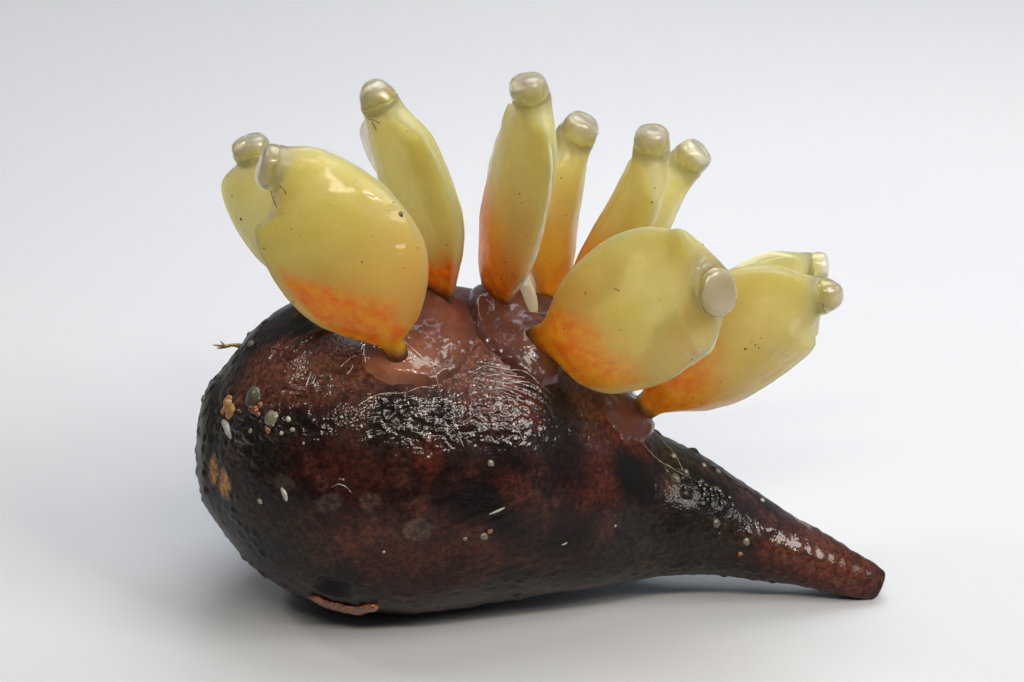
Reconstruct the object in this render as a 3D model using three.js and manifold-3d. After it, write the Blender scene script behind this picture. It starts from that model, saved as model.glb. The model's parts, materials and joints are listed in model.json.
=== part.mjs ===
// Stalked sea snail egg capsules on a leathery, pear-shaped sea squirt, as one still specimen.
// Millimetres. X runs from the blunt end towards the tail tip, Y points away from the front, Z is up.
import * as THREE from 'three';
import { mergeVertices } from 'three/addons/utils/BufferGeometryUtils.js';
import Module from 'manifold-3d';

const wasm = await Module();
wasm.setup();

// Clearance between touching pieces.
const gap = 0.3;

// The leathery body, station by station from the blunt end: [x, radius, height of the centre].
const bodyStations = [
  [-13.3, 0, 10.8],
  [-12.6, 4.0, 10.75],
  [-11.4, 5.6, 10.7],
  [-8.9, 8.3, 10.75],
  [-5.0, 10.45, 10.75],
  [0, 11.0, 10.75],
  [4.2, 10.7, 10.75],
  [8.2, 9.85, 10.6],
  [12.2, 8.0, 9.15],
  [16.9, 5.1, 6.8],
  [20.3, 4.05, 6.0],
  [25.6, 2.5, 3.8],
  [30.4, 1.55, 1.65],
  [32.3, 0.9, 0.8],
];
const bodyStart = -13.3;
const tailRootStart = 14.4;
const tailTipStart = 24.2;
const bodyEnd = 32.3;
// The tail tip lies this far in front of the body's middle plane.
const tailSwing = -0.6;

// Sticky pads that the capsules grow from: middle, half length along X and half width round the body.
const padThickness = 0.5;
const pads = [
  { name: 'membrane_left', x: 0.6, angle: -18, halfLength: 4.6, halfWidth: 5.0 },
  { name: 'membrane_middle', x: 8.7, angle: 0, halfLength: 3.2, halfWidth: 5.7 },
  { name: 'membrane_right', x: 15.2, angle: 14, halfLength: 2.9, halfWidth: 3.9 },
];

// How wide and how thick a capsule is along its length, as shares of its largest width and thickness.
const widthShares = [
  [0, 0.12], [0.06, 0.14], [0.2, 0.65], [0.35, 0.92], [0.55, 1], [0.8, 0.88], [0.92, 0.68], [1, 0.38],
];
const thicknessShares = [
  [0, 0.3], [0.06, 0.34], [0.2, 0.72], [0.4, 0.98], [0.6, 1], [0.8, 0.94], [1, 0.72],
];
// The flanks fall away towards the two thin edges.
const edgeThinning = 0.35;
// Length share of the stalk, and of the stretch in which the neck turns to face its plug.
const stalkShare = 0.08;
const neckShare = 0.2;
// How far the capsule's axis keeps its first and its last direction.
const riseReach = 4;
const arriveReach = 4.5;
const plugRadius = 1.35;
const plugHeight = 1.5;

// Each capsule: its foot on the body (x and angle from the top, away from the front), the direction
// in which it rises, its tip, the direction in which it arrives there and the way its plug faces.
// A turn of 0 shows the broad face to the front, and 90 shows an edge. A skew slides one edge towards
// the tip and the other towards the foot, as a share of the half width.
const capsules = [
  { foot: [-2.0, 0], rise: [-0.4, 0, 1], tip: [-9.5, 4.5, 29.8], arrive: [-0.2, 0.1, 0.9],
    face: [-0.3, 0.1, 0.9], width: 10.2, thickness: 3.4, turn: 42 },
  { foot: [0.4, -34], rise: [-0.35, -0.3, 1], tip: [-6.9, -6.0, 33.1], arrive: [-0.75, 0, 0.75],
    face: [-0.85, -0.1, 0.6], width: 9.8, thickness: 4.2, turn: 0 },
  { foot: [2.9, -8], rise: [0, 0, 1], tip: [-0.7, 1.5, 34.4], arrive: [-0.4, 0, 0.9],
    face: [-0.4, 0, 0.9], width: 9.4, thickness: 3.6, turn: 58 },
  { foot: [7.2, -10], rise: [0, -0.1, 1], tip: [9.2, -3.5, 36.8], arrive: [0.05, 0, 1],
    face: [0.05, 0, 1], width: 9.2, thickness: 3.0, turn: 68 },
  { foot: [9.9, 28], rise: [0, 0.1, 1], tip: [11.8, 6.0, 30.0], arrive: [0.3, 0.1, 0.9],
    face: [0.5, 0, 0.85], width: 8.4, thickness: 2.6, turn: -72 },
  { foot: [10.9, 8], rise: [0.35, 0, 1], tip: [16.7, 0.5, 31.6], arrive: [0.1, 0, 1],
    face: [0.05, 0, 1], width: 8.4, thickness: 2.8, turn: 70 },
  { foot: [13.6, 34], rise: [0.25, 0.2, 1], tip: [19.4, 9.0, 26.9], arrive: [0.5, 0, 0.9],
    face: [0.7, 0, 0.7], width: 8.4, thickness: 2.6, turn: -72 },
  { foot: [9.2, -20], rise: [1.0, -0.8, 0.3], tip: [20.5, -7.5, 25.3], arrive: [0.4, -0.8, 0.25],
    face: [0.5, -0.8, 0.15], width: 10.2, thickness: 4.2, turn: 0, skew: -0.55 },
  { foot: [16.4, 0], rise: [0.8, 0, 0.65], tip: [27.6, -1.5, 22.1], arrive: [0.8, -0.2, 0.3],
    face: [0.85, -0.2, 0.05], width: 10, thickness: 4.2, turn: -26 },
  { foot: [16.4, 38], rise: [0.7, 0.1, 0.5], tip: [27.5, 7.5, 20.5], arrive: [0.9, 0, 0.05],
    face: [0.95, 0, 0.1], width: 8.8, thickness: 3.4, turn: -42 },
];

// Smooth interpolation of one column of a table of stations, whose first column is x.
function alongTable(table, x, column) {
  const last = table.length - 1;
  let right = 1;
  while (right < last && table[right][0] < x) right += 1;
  const left = right - 1;
  const slope = (index) => {
    const before = table[Math.max(index - 1, 0)];
    const after = table[Math.min(index + 1, last)];
    return (after[column] - before[column]) / (after[0] - before[0]);
  };
  const span = table[right][0] - table[left][0];
  const share = THREE.MathUtils.clamp((x - table[left][0]) / span, 0, 1);
  const squared = share * share;
  const cubed = squared * share;
  return (2 * cubed - 3 * squared + 1) * table[left][column]
    + (cubed - 2 * squared + share) * span * slope(left)
    + (3 * squared - 2 * cubed) * table[right][column]
    + (cubed - squared) * span * slope(right);
}

// The squares of the radii are interpolated, which rounds the blunt end.
const squaredRadii = bodyStations.map(([x, radius]) => [x, radius * radius]);
const bodyRadius = (x) => Math.sqrt(Math.max(alongTable(squaredRadii, x, 1), 0));
const bodyHeight = (x) => alongTable(bodyStations, x, 2);
const bodyDepth = (x) => tailSwing * THREE.MathUtils.smoothstep(x, tailRootStart, bodyEnd);

// The point `lift` above the body's skin, `angle` radians from its top towards the back.
function abovePoint(x, angle, lift) {
  const reach = bodyRadius(x) + lift;
  const y = bodyDepth(x) + reach * Math.sin(angle);
  const z = bodyHeight(x) + reach * Math.cos(angle);
  return new THREE.Vector3(x, y, z);
}

function material(colour, roughness) {
  return new THREE.MeshStandardMaterial({ color: colour, roughness, metalness: 0 });
}

const finishes = {
  leather: () => material(0x3a231c, 0.35),
  tail: () => material(0x33261f, 0.45),
  pad: () => material(0x7a4a36, 0.25),
  stalk: () => material(0xb9a56a, 0.3),
  sac: () => material(0xbaa75e, 0.3),
  plug: () => material(0xd8d2c0, 0.15),
};

// Moves every vertex of a geometry by a function from its point to its new point.
function reshape(geometry, move) {
  const positions = geometry.getAttribute('position');
  const point = new THREE.Vector3();
  for (let index = 0; index < positions.count; index += 1) {
    const moved = move(point.fromBufferAttribute(positions, index));
    positions.setXYZ(index, moved.x, moved.y, moved.z);
  }
  geometry.computeVertexNormals();
  return geometry;
}

function toManifold(geometry) {
  const bare = geometry.clone();
  bare.deleteAttribute('normal');
  bare.deleteAttribute('uv');
  const merged = mergeVertices(bare, 1e-4);
  const mesh = new wasm.Mesh({
    numProp: 3,
    vertProperties: new Float32Array(merged.getAttribute('position').array),
    triVerts: new Uint32Array(merged.index.array),
  });
  return new wasm.Manifold(mesh);
}

function fromManifold(manifold) {
  const mesh = manifold.getMesh();
  const geometry = new THREE.BufferGeometry();
  geometry.setAttribute('position', new THREE.BufferAttribute(mesh.vertProperties, 3));
  geometry.setIndex(new THREE.BufferAttribute(mesh.triVerts, 1));
  geometry.computeVertexNormals();
  return geometry;
}

// Pares away whatever would lie below the floor, which leaves the small flat the piece rests on.
function pareAtFloor(geometry) {
  const depth = 5;
  const floor = new THREE.BoxGeometry(80, 40, depth).translate(0, 0, -depth / 2);
  return fromManifold(toManifold(geometry).subtract(toManifold(floor)));
}

// One length of the body between two flat cuts, turned round its axis and laid on its bent middle line.
// A crowding above 1 draws the rings together at the start, where the blunt end curves most.
function bodyLength(name, start, end, { rings, segments, crowding, finish }) {
  const profile = [new THREE.Vector2(0, start)];
  for (let ring = 0; ring <= rings; ring += 1) {
    const x = THREE.MathUtils.lerp(start, end, (ring / rings) ** crowding);
    const radius = bodyRadius(x);
    if (radius > 0) profile.push(new THREE.Vector2(radius, x));
  }
  profile.push(new THREE.Vector2(0, end));
  const turned = new THREE.LatheGeometry(profile, segments).rotateZ(-Math.PI / 2);
  const bent = reshape(turned, (point) => {
    point.y += bodyDepth(point.x);
    point.z += bodyHeight(point.x);
    return point;
  });
  const mesh = new THREE.Mesh(pareAtFloor(bent), finish());
  mesh.name = name;
  return mesh;
}

// A pad with a rounded rim, bent over the body at an even clearance.
function pad({ name, x, angle, halfLength, halfWidth }) {
  const rim = padThickness / 2;
  const profile = [
    new THREE.Vector2(0, 0),
    new THREE.Vector2(0.5, 0),
    new THREE.Vector2(0.94, 0),
    new THREE.Vector2(1, rim),
    new THREE.Vector2(0.94, padThickness),
    new THREE.Vector2(0.5, padThickness),
    new THREE.Vector2(0, padThickness),
  ];
  const middle = THREE.MathUtils.degToRad(angle);
  const disc = new THREE.LatheGeometry(profile, 20);
  const bent = reshape(disc, (point) => {
    const padX = x + point.x * halfLength;
    const padAngle = middle - point.z * halfWidth / bodyRadius(x);
    return abovePoint(padX, padAngle, gap + point.y);
  });
  const mesh = new THREE.Mesh(bent, finishes.pad());
  mesh.name = name;
  return mesh;
}

// The axis of a capsule and the directions that its sections lie in.
function capsuleFrame({ foot, rise, tip, arrive, face, turn }) {
  const start = abovePoint(foot[0], THREE.MathUtils.degToRad(foot[1]), padThickness + 2 * gap);
  const end = new THREE.Vector3(...tip);
  const riseEnd = new THREE.Vector3(...rise).setLength(riseReach).add(start);
  const arriveStart = new THREE.Vector3(...arrive).setLength(-arriveReach).add(end);
  const axis = new THREE.CubicBezierCurve3(start, riseEnd, arriveStart, end);
  const chord = end.clone().sub(start).normalize();
  const side = new THREE.Vector3().crossVectors(new THREE.Vector3(0, 1, 0), chord).normalize();
  const broad = side.applyAxisAngle(chord, THREE.MathUtils.degToRad(-turn));
  return { axis, broad, plugAxis: new THREE.Vector3(...face).normalize() };
}

// The point of a capsule's skin at `share` of its length, for a point of the unit disc across it.
function capsulePoint(frame, capsule, share, across, through) {
  const neck = THREE.MathUtils.smoothstep(share, 1 - neckShare, 1);
  const along = frame.axis.getTangent(share).lerp(frame.plugAxis, neck).normalize();
  const broad = frame.broad.clone().projectOnPlane(along).normalize();
  const thin = new THREE.Vector3().crossVectors(broad, along);
  const halfThickness = alongTable(thicknessShares, share, 1) * capsule.thickness / 2;
  const halfWidth = Math.max(alongTable(widthShares, share, 1) * capsule.width / 2, halfThickness);
  const flatness = Math.min(halfWidth / halfThickness - 1, 1);
  const bulge = through * (1 - edgeThinning * flatness * across * across);
  const slide = (capsule.skew ?? 0) * across * (halfWidth - halfThickness);
  return frame.axis.getPoint(share)
    .addScaledVector(broad, across * halfWidth)
    .addScaledVector(along, slide)
    .addScaledVector(thin, bulge * halfThickness);
}

// One closed length of a capsule between two shares of its axis.
function capsuleLength(name, frame, capsule, start, end, rings, segments, finish) {
  const drum = new THREE.CylinderGeometry(1, 1, 1, segments, rings);
  const shaped = reshape(drum, (point) => {
    const share = THREE.MathUtils.lerp(start, end, point.y + 0.5);
    return capsulePoint(frame, capsule, share, point.x, point.z);
  });
  const mesh = new THREE.Mesh(shaped, finish());
  mesh.name = name;
  return mesh;
}

// The clear plug that closes a capsule's mouth.
function plug(name, frame) {
  const profile = [
    new THREE.Vector2(0, 0),
    new THREE.Vector2(plugRadius * 0.9, 0),
    new THREE.Vector2(plugRadius, plugHeight * 0.2),
    new THREE.Vector2(plugRadius, plugHeight * 0.55),
    new THREE.Vector2(plugRadius * 0.75, plugHeight * 0.88),
    new THREE.Vector2(0, plugHeight),
  ];
  const mesh = new THREE.Mesh(new THREE.LatheGeometry(profile, 14), finishes.plug());
  mesh.name = name;
  mesh.quaternion.setFromUnitVectors(new THREE.Vector3(0, 1, 0), frame.plugAxis);
  mesh.position.copy(frame.axis.getPoint(1)).addScaledVector(frame.plugAxis, gap);
  return mesh;
}

const group = new THREE.Group();

const body = new THREE.Group();
body.add(bodyLength('body', bodyStart, tailRootStart - gap, {
  rings: 24, segments: 36, crowding: 1.5, finish: finishes.leather,
}));
body.add(bodyLength('tail_root', tailRootStart, tailTipStart - gap, {
  rings: 6, segments: 24, crowding: 1, finish: finishes.tail,
}));
body.add(bodyLength('tail_tip', tailTipStart, bodyEnd, {
  rings: 6, segments: 18, crowding: 1, finish: finishes.tail,
}));
group.add(body);

pads.forEach((shape) => group.add(pad(shape)));

capsules.forEach((capsule, index) => {
  const label = `capsule_${String(index + 1).padStart(2, '0')}`;
  const frame = capsuleFrame(capsule);
  const sacStart = stalkShare + gap / frame.axis.getLength();
  const eggCase = new THREE.Group();
  eggCase.add(capsuleLength(`${label}_stalk`, frame, capsule, 0, stalkShare, 1, 10, finishes.stalk));
  eggCase.add(capsuleLength(`${label}_sac`, frame, capsule, sacStart, 1, 11, 20, finishes.sac));
  eggCase.add(plug(`${label}_cap`, frame));
  group.add(eggCase);
});

export default group;
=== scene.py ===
import math

import bpy
import numpy as np
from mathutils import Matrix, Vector
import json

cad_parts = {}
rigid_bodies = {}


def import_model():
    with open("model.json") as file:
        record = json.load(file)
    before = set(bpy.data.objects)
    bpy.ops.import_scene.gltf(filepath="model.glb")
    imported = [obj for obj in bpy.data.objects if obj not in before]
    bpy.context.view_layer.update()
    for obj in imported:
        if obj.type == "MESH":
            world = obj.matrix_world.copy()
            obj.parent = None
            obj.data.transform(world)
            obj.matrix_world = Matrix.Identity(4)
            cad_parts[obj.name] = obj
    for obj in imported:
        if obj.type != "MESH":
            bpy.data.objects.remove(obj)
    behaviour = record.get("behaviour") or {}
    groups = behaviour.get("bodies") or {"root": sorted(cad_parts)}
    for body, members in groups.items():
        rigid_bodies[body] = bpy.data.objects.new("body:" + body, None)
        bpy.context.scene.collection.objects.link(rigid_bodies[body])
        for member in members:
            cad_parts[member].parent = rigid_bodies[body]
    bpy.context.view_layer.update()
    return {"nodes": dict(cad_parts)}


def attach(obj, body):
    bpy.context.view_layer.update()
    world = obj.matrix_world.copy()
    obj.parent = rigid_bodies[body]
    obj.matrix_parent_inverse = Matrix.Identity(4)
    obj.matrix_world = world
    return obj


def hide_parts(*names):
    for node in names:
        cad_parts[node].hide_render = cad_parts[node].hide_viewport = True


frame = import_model()
print("frame loaded:", len(frame["nodes"]), "solids")

mm = 0.001  # the shapes are worked out in millimetres and made in metres
scene = bpy.context.scene
scene.view_settings.view_transform = "Standard"

# X runs from the blunt end to the tail tip, Y away from the front, Z up.
# An angle on the body is measured in degrees from its top, and is negative towards the front.

# Camera and studio

cameraView = {
    "lens": 150,  # a macro lens
    "sensor": 36,
    "distance": 280,
    "elevation": 24,
    "target": (7.7, 0, 18.5),
}

studio = {
    "skyStrength": 0.41,
    "skyStops": [(0.3, "#101215"), (0.82, "#dde8f4"), (0.52, "#757c85")],  # low in front to high behind
    "skyLean": (0.16, 0.28, 0.4),  # the sky grows brighter this way
    "lights": [  # name, place, the point it faces, width and height, power, colour
        # a window to the right and a little in front, which throws the soft shade on the left
        ("window", (390, -230, 400), (5, 0, 10), (260, 260), 2.5, "#fffaf2"),
        # a soft panel overhead and behind, which lets the capsules glow
        ("panel", (40, 85, 225), (22, 40, 0), (180, 180), 0.52, "#f7f9ff"),
        # two small lamps and a bright strip over the camera, for sharp glints on the wet skin
        ("leftLamp", (-270, 60, 330), (0, 0, 20), (46, 46), 0.22, "#fff8ee"),
        ("rightLamp", (262, -272, 290), (14, 0, 18), (34, 34), 0.2, "#fffaf2"),
        ("strip", (45, -285, 300), (8, 0, 16), (250, 30), 0.85, "#fff3e4"),
    ],
}


def linear(hexColour):
    # sRGB hex to the linear values that the shaders use
    channels = [int(hexColour[i : i + 2], 16) / 255 for i in (1, 3, 5)]
    return [c / 12.92 if c <= 0.04045 else ((c + 0.055) / 1.055) ** 2.4 for c in channels] + [1.0]


def newMaterial(name):
    # a material with its tree, its shader and the place on the piece that patterns are laid by
    material = bpy.data.materials.new(name)
    material.use_nodes = True
    tree = material.node_tree
    return material, tree, tree.nodes["Principled BSDF"], addNode(tree, "TexCoord").outputs["Object"]


def feed(tree, socket, value):
    # a socket takes a number or colour, or a link from a socket or from a node's first output
    if isinstance(value, bpy.types.Node):
        value = value.outputs[0]
    if isinstance(value, bpy.types.NodeSocket):
        tree.links.new(value, socket)
    else:
        socket.default_value = value


def addNode(tree, kind, inputs=None, stops=None, **settings):
    # one node with its inputs, its colour stops and its settings
    node = tree.nodes.new("ShaderNode" + kind)
    for key, value in settings.items():
        setattr(node, key, value)
    for key, value in (inputs or {}).items():
        feed(tree, node.inputs[key], value)
    for index, (place, colour) in enumerate(stops or []):
        elements = node.color_ramp.elements
        element = elements[index] if index < 2 else elements.new(place)
        element.position = place
        element.color = linear(colour)
    return node


def setShader(tree, shader, **values):
    # values and links on the shader's own sockets
    for key, value in values.items():
        feed(tree, shader.inputs[key.replace("_", " ")], value)


def layColours(tree, base, layers):
    # lays each colour over the base where its mask on the mesh says
    for key, colour in layers:
        mask = addNode(tree, "Attribute", attribute_name=key).outputs["Fac"]
        base = addNode(tree, "MixRGB", {"Fac": mask, "Color1": base, "Color2": colour})
    return base


def perMm(size):
    return 1 / (size * mm)  # a texture's scale for a pattern of that size


def placeCamera():
    tilt = math.radians(cameraView["elevation"])
    back = Vector((0, -math.cos(tilt), math.sin(tilt)))
    data = bpy.data.cameras.new("camera")
    data.lens = cameraView["lens"]
    data.sensor_width = cameraView["sensor"]
    data.clip_start, data.clip_end = 0.01, 20  # metres
    camera = bpy.data.objects.new("camera", data)
    camera.location = (Vector(cameraView["target"]) + back * cameraView["distance"]) * mm
    camera.rotation_euler = (-back).to_track_quat("-Z", "Y").to_euler()
    scene.collection.objects.link(camera)
    scene.camera = camera


def placeLights():
    for name, place, facing, size, power, colour in studio["lights"]:
        data = bpy.data.lights.new(name, "AREA")
        data.shape = "RECTANGLE"
        data.size, data.size_y = size[0] * mm, size[1] * mm
        data.energy = power
        data.color = linear(colour)[:3]
        light = bpy.data.objects.new(name, data)
        light.location = Vector(place) * mm
        light.rotation_euler = (Vector(facing) - Vector(place)).to_track_quat("-Z", "Y").to_euler()
        scene.collection.objects.link(light)
    world = bpy.data.worlds.new("room")
    world.use_nodes = True
    tree = world.node_tree
    sky = tree.nodes["Background"]
    sky.inputs["Strength"].default_value = studio["skyStrength"]
    toward = addNode(tree, "TexCoord").outputs["Generated"]
    height = addNode(tree, "VectorMath", {0: toward, 1: studio["skyLean"]}, operation="DOT_PRODUCT")
    share = addNode(tree, "Math", {0: height.outputs["Value"], 1: 0.5}, operation="ADD")
    feed(tree, sky.inputs["Color"], addNode(tree, "ValToRGB", {"Fac": share}, studio["skyStops"]))
    scene.world = world


placeCamera()
placeLights()
print("camera and lights placed")

# Number tools. The last number that lumps, grains and cellRandom take is a seed.


def unit(vectors):
    return vectors / np.maximum(np.linalg.norm(vectors, axis=-1, keepdims=True), 1e-9)


def smooth(value, low, high):
    share = np.clip((value - low) / (high - low), 0, 1)
    return share * share * (3 - 2 * share)


def alongTable(stations, x, column):
    # a smooth curve through one column of a table whose first column is x
    stations = np.asarray(stations, float)
    at, value = stations[:, 0], stations[:, column]
    before = np.maximum(np.arange(len(at)) - 1, 0)
    after = np.minimum(np.arange(len(at)) + 1, len(at) - 1)
    slope = (value[after] - value[before]) / (at[after] - at[before])
    right = np.clip(np.searchsorted(at, x), 1, len(at) - 1)
    left = right - 1
    span = at[right] - at[left]
    share = np.clip((x - at[left]) / span, 0, 1)
    squared = share * share
    cubed = squared * share
    return (
        (2 * cubed - 3 * squared + 1) * value[left]
        + (cubed - 2 * squared + share) * span * slope[left]
        + (3 * squared - 2 * cubed) * value[right]
        + (cubed - squared) * span * slope[right]
    )


cellPrimes, seedPrime = np.array([73856093, 19349663, 83492791]), 7919  # they part neighbouring cells
mixer, wholeRange = 0x45D9F3B, 0xFFFFFFFF  # an odd number that scatters bits, and the largest 32-bit number


def cellRandom(cell, seed):
    # the same number from 0 to 1 for the same whole-number cell, every run
    mixed = (cell @ cellPrimes + seed * seedPrime) & wholeRange
    for _ in range(2):
        mixed = ((mixed ^ (mixed >> 16)) * mixer) & wholeRange
    return (mixed ^ (mixed >> 16)) / wholeRange


def lumps(points, size, seed):
    # soft lumps about `size` mm across, from -1 to 1
    place = points / size
    cell = np.floor(place).astype(np.int64)
    share = place - cell
    share = share * share * (3 - 2 * share)
    total = np.zeros(len(points))
    for corner in np.ndindex(2, 2, 2):
        step = np.array(corner)
        total += np.prod(np.where(step, share, 1 - share), axis=-1) * cellRandom(cell + step, seed)
    return 2 * total - 1


def grains(points, size, seed):
    # packed grains about `size` mm across: the distance to a grain's middle, in grain sizes,
    # and a number from 0 to 1 for each grain
    place = points / size
    cell = np.floor(place).astype(np.int64)
    near = np.full(len(points), 9.0)
    mark = np.zeros(len(points))
    for corner in np.ndindex(3, 3, 3):
        here = cell + np.array(corner) - 1
        middle = here + np.stack([cellRandom(here, seed + k) for k in (1, 2, 3)], -1)
        distance = np.linalg.norm(place - middle, axis=-1)
        closer = distance < near
        near = np.where(closer, distance, near)
        mark = np.where(closer, cellRandom(here, seed + 4), mark)
    return near, mark


def smoothPath(points, count):
    # an even curve through a few points
    points = np.asarray(points, float)
    spans = len(points) - 1
    at = np.linspace(0, spans, count)
    i = np.clip(at.astype(int), 0, spans - 1)
    t = (at - i)[:, None]
    a, b = points[np.maximum(i - 1, 0)], points[i]
    c, d = points[i + 1], points[np.minimum(i + 2, spans)]
    return b + 0.5 * t * (c - a + t * (2 * a - 5 * b + 4 * c - d + t * (3 * (b - c) + d - a)))


# Mesh tools


def makePiece(name, skins, material, replaced=()):
    # one object from closed skins; a skin is rings of points, and masks with a value for each point
    points, faces, masks, first = [], [], {}, 0
    for skin in skins:
        rings = skin["rings"]
        count, around = rings.shape[:2]
        here = np.arange(around)
        after = (here + 1) % around
        ring = (np.arange(count - 1) * around)[:, None]
        quads = [ring + here, ring + after, ring + around + after, ring + around + here]
        quads = np.stack(quads, -1).reshape(-1, 4)
        startPole, endPole, last = count * around, count * around + 1, (count - 1) * around
        startFan = np.stack([np.full(around, startPole), after, here], -1)
        endFan = np.stack([np.full(around, endPole), last + here, last + after], -1)
        own = np.concatenate([rings.reshape(-1, 3), rings[:1].mean(1), rings[-1:].mean(1)])
        a, b, c, d = (own[quads[:, k]] for k in range(4))
        middle = own.mean(0)
        volume = np.einsum("ij,ij->", a - middle, np.cross(b - middle, c - middle))
        volume += np.einsum("ij,ij->", a - middle, np.cross(c - middle, d - middle))
        for group in (quads, startFan, endFan):
            turned = group if volume > 0 else group[:, ::-1]
            faces.extend((turned + first).tolist())
        points.append(own)
        first += len(own)
        for key, values in skin.get("masks", {}).items():
            values = np.broadcast_to(values, (count, around))
            poles = [values[0].mean(), values[-1].mean()]
            masks.setdefault(key, []).append(np.concatenate([values.ravel(), poles]))
    mesh = bpy.data.meshes.new(name)
    mesh.from_pydata((np.concatenate(points) * mm).tolist(), [], faces)
    for key, values in masks.items():
        values = np.concatenate(values).astype(np.float32)
        mesh.attributes.new(key, "FLOAT", "POINT").data.foreach_set("value", values)
    mesh.polygons.foreach_set("use_smooth", np.full(len(mesh.polygons), True))
    mesh.materials.append(material)
    piece = bpy.data.objects.new(name, mesh)
    scene.collection.objects.link(piece)
    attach(piece, "root")
    if replaced:
        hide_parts(*replaced)


def ovalRings(path, broad, thin, halfWidth, halfThickness, around):
    # an oval ring about each point of a path; a half size is one number or one for each point
    turn = np.linspace(0, 2 * math.pi, around, endpoint=False)[None, :, None]
    wide, deep = (np.broadcast_to(half, len(path))[:, None, None] for half in (halfWidth, halfThickness))
    ring = broad[..., None, :] * np.cos(turn) * wide + thin[..., None, :] * np.sin(turn) * deep
    return path[:, None] + ring


def tube(path, radius, around):
    # a round tube along a path, drawn in at its ends
    along = unit(np.gradient(path, axis=0))
    side = unit(np.cross(along, np.array([0.31, 0.17, 0.93])))  # a direction that no path here follows
    radius = np.broadcast_to(radius, len(path)).copy()
    radius[[0, -1]] *= 0.3
    return ovalRings(path, side, np.cross(along, side), radius, radius, around)


def pebble(place, normal, size, flat, seed, stretch=1.0):
    # a rough closed grain: half width `size`, flattened along the normal
    rows, around, poleGap = 9, 14, 0.12
    rise = np.linspace(poleGap, math.pi - poleGap, rows)[:, None]
    turn = np.linspace(0, 2 * math.pi, around, endpoint=False)[None, :]
    ball = np.stack([np.sin(rise) * np.cos(turn), np.sin(rise) * np.sin(turn), np.cos(rise) + 0 * turn], -1)
    spots = ball.reshape(-1, 3) + seed * 3.7
    rough = 1 + 0.26 * lumps(spots, 0.8, seed) + 0.14 * lumps(spots, 0.4, seed + 1)
    along = unit(np.cross(normal, unit(np.array([math.sin(seed * 2.4), 0.4, math.cos(seed * 2.4)]))))
    across = np.cross(normal, along)
    ball = ball * rough.reshape(rows, around, 1) * size
    return place + ball[..., :1] * along * stretch + ball[..., 1:2] * across + ball[..., 2:] * normal * flat


# Floor


floorBoard = {
    "halfSize": 900,
    "cloud": 90,  # size of the faint clouds in its colour
    "colours": [(0.3, "#b9bbbe"), (0.7, "#bfc0c1")],
    "frontColour": "#464749",  # it darkens towards the front between these two depths
    "frontFrom": -75,
    "frontTo": -22,
    # painted light: the middle of a painted pool of light, from which the board's colour dims
    "paintedLightMiddle": (38, 45, 0),  # and it dims a little outwards from here, between these two distances
    "fade": (35, 120),
    "edge": 0.8,
}


def whiteBoard():
    # Melamine board, pressed smooth: an even pale grey with hardly any gloss, and darker in front. A pool
    # of light is painted into its colour, dimming outwards from one spot.
    board = floorBoard
    material, tree, shader, place = newMaterial("white_melamine_board")
    cloud = addNode(tree, "TexNoise", {"Vector": place, "Scale": perMm(board["cloud"]), "Detail": 1.0})
    shade = addNode(tree, "ValToRGB", {"Fac": cloud}, board["colours"])
    depth = addNode(tree, "SeparateXYZ", {"Vector": place}).outputs["Y"]
    front = addNode(tree, "MapRange", {"Value": depth, "From Min": board["frontFrom"] * mm,
                                       "From Max": board["frontTo"] * mm}, interpolation_type="SMOOTHSTEP")
    shade = addNode(tree, "MixRGB", {"Fac": front, "Color1": linear(board["frontColour"]), "Color2": shade})
    # painted light: the colour is brightest round one spot and dims outwards, like a pool of light
    away = addNode(tree, "VectorMath", {0: place, 1: [c * mm for c in board["paintedLightMiddle"]]}, operation="DISTANCE")
    near, far = board["fade"]
    fade = addNode(tree, "MapRange", {"Value": away.outputs["Value"], "From Min": near * mm,
                                      "From Max": far * mm, "To Min": 1.0, "To Max": board["edge"]})
    shade = addNode(tree, "VectorMath", {0: shade, 1: fade}, operation="MULTIPLY")
    setShader(tree, shader, Base_Color=shade, Roughness=0.55, Specular_IOR_Level=0.3)
    return material


def makeFloor():
    half = floorBoard["halfSize"] * mm
    mesh = bpy.data.meshes.new("floor")
    corners = [(-half, -half, 0), (half, -half, 0), (half, half, 0), (-half, half, 0)]
    mesh.from_pydata(corners, [], [(0, 1, 2, 3)])
    mesh.materials.append(whiteBoard())
    floor = bpy.data.objects.new("floor", mesh)
    scene.collection.objects.link(floor)


makeFloor()
print("floor laid")

# Body

bodyShape = {
    "stations": [  # x, radius, height of the centre
        [-13.3, 0, 10.8], [-12.6, 4.0, 10.75], [-11.4, 5.6, 10.7], [-8.9, 8.3, 10.75], [-5.0, 10.45, 10.75],
        [0, 11.0, 10.75], [4.2, 10.7, 10.75], [8.2, 9.85, 10.6], [12.2, 8.0, 9.15], [16.9, 5.1, 6.8],
        [20.3, 4.05, 6.0], [25.6, 2.5, 3.8], [30.4, 1.55, 1.65], [32.3, 0.9, 0.8],
    ],
    "tailStart": 14.4,
    "end": 32.3,
    "tailSwing": -0.6,
    "endLean": 0.42,  # the cut end stands square to the sloping tail
    "leanFrom": 30.3,
    "rings": 500,
    "around": 580,
    "crowding": 0.28,  # draws the points together on the front upper side
    "crowdedAngle": -58,
    "floorGap": 0.02,  # the underside is held this far over the floor
    # rings of the hollow cut end: share of the last ring's size, and depth
    "hollow": [(0.93, -0.06), (0.8, -0.02), (0.66, 0.2), (0.56, 0.5), (0.4, 0.7), (0.15, 0.75)],
}

squaredRadii = [[x, radius * radius] for x, radius, _ in bodyShape["stations"]]


def bodyRadius(x):
    return np.sqrt(np.maximum(alongTable(squaredRadii, x, 1), 0))


def bodyHeight(x):
    return alongTable(bodyShape["stations"], x, 2)


def bodyDepth(x):
    return bodyShape["tailSwing"] * smooth(x, bodyShape["tailStart"], bodyShape["end"])


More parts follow.
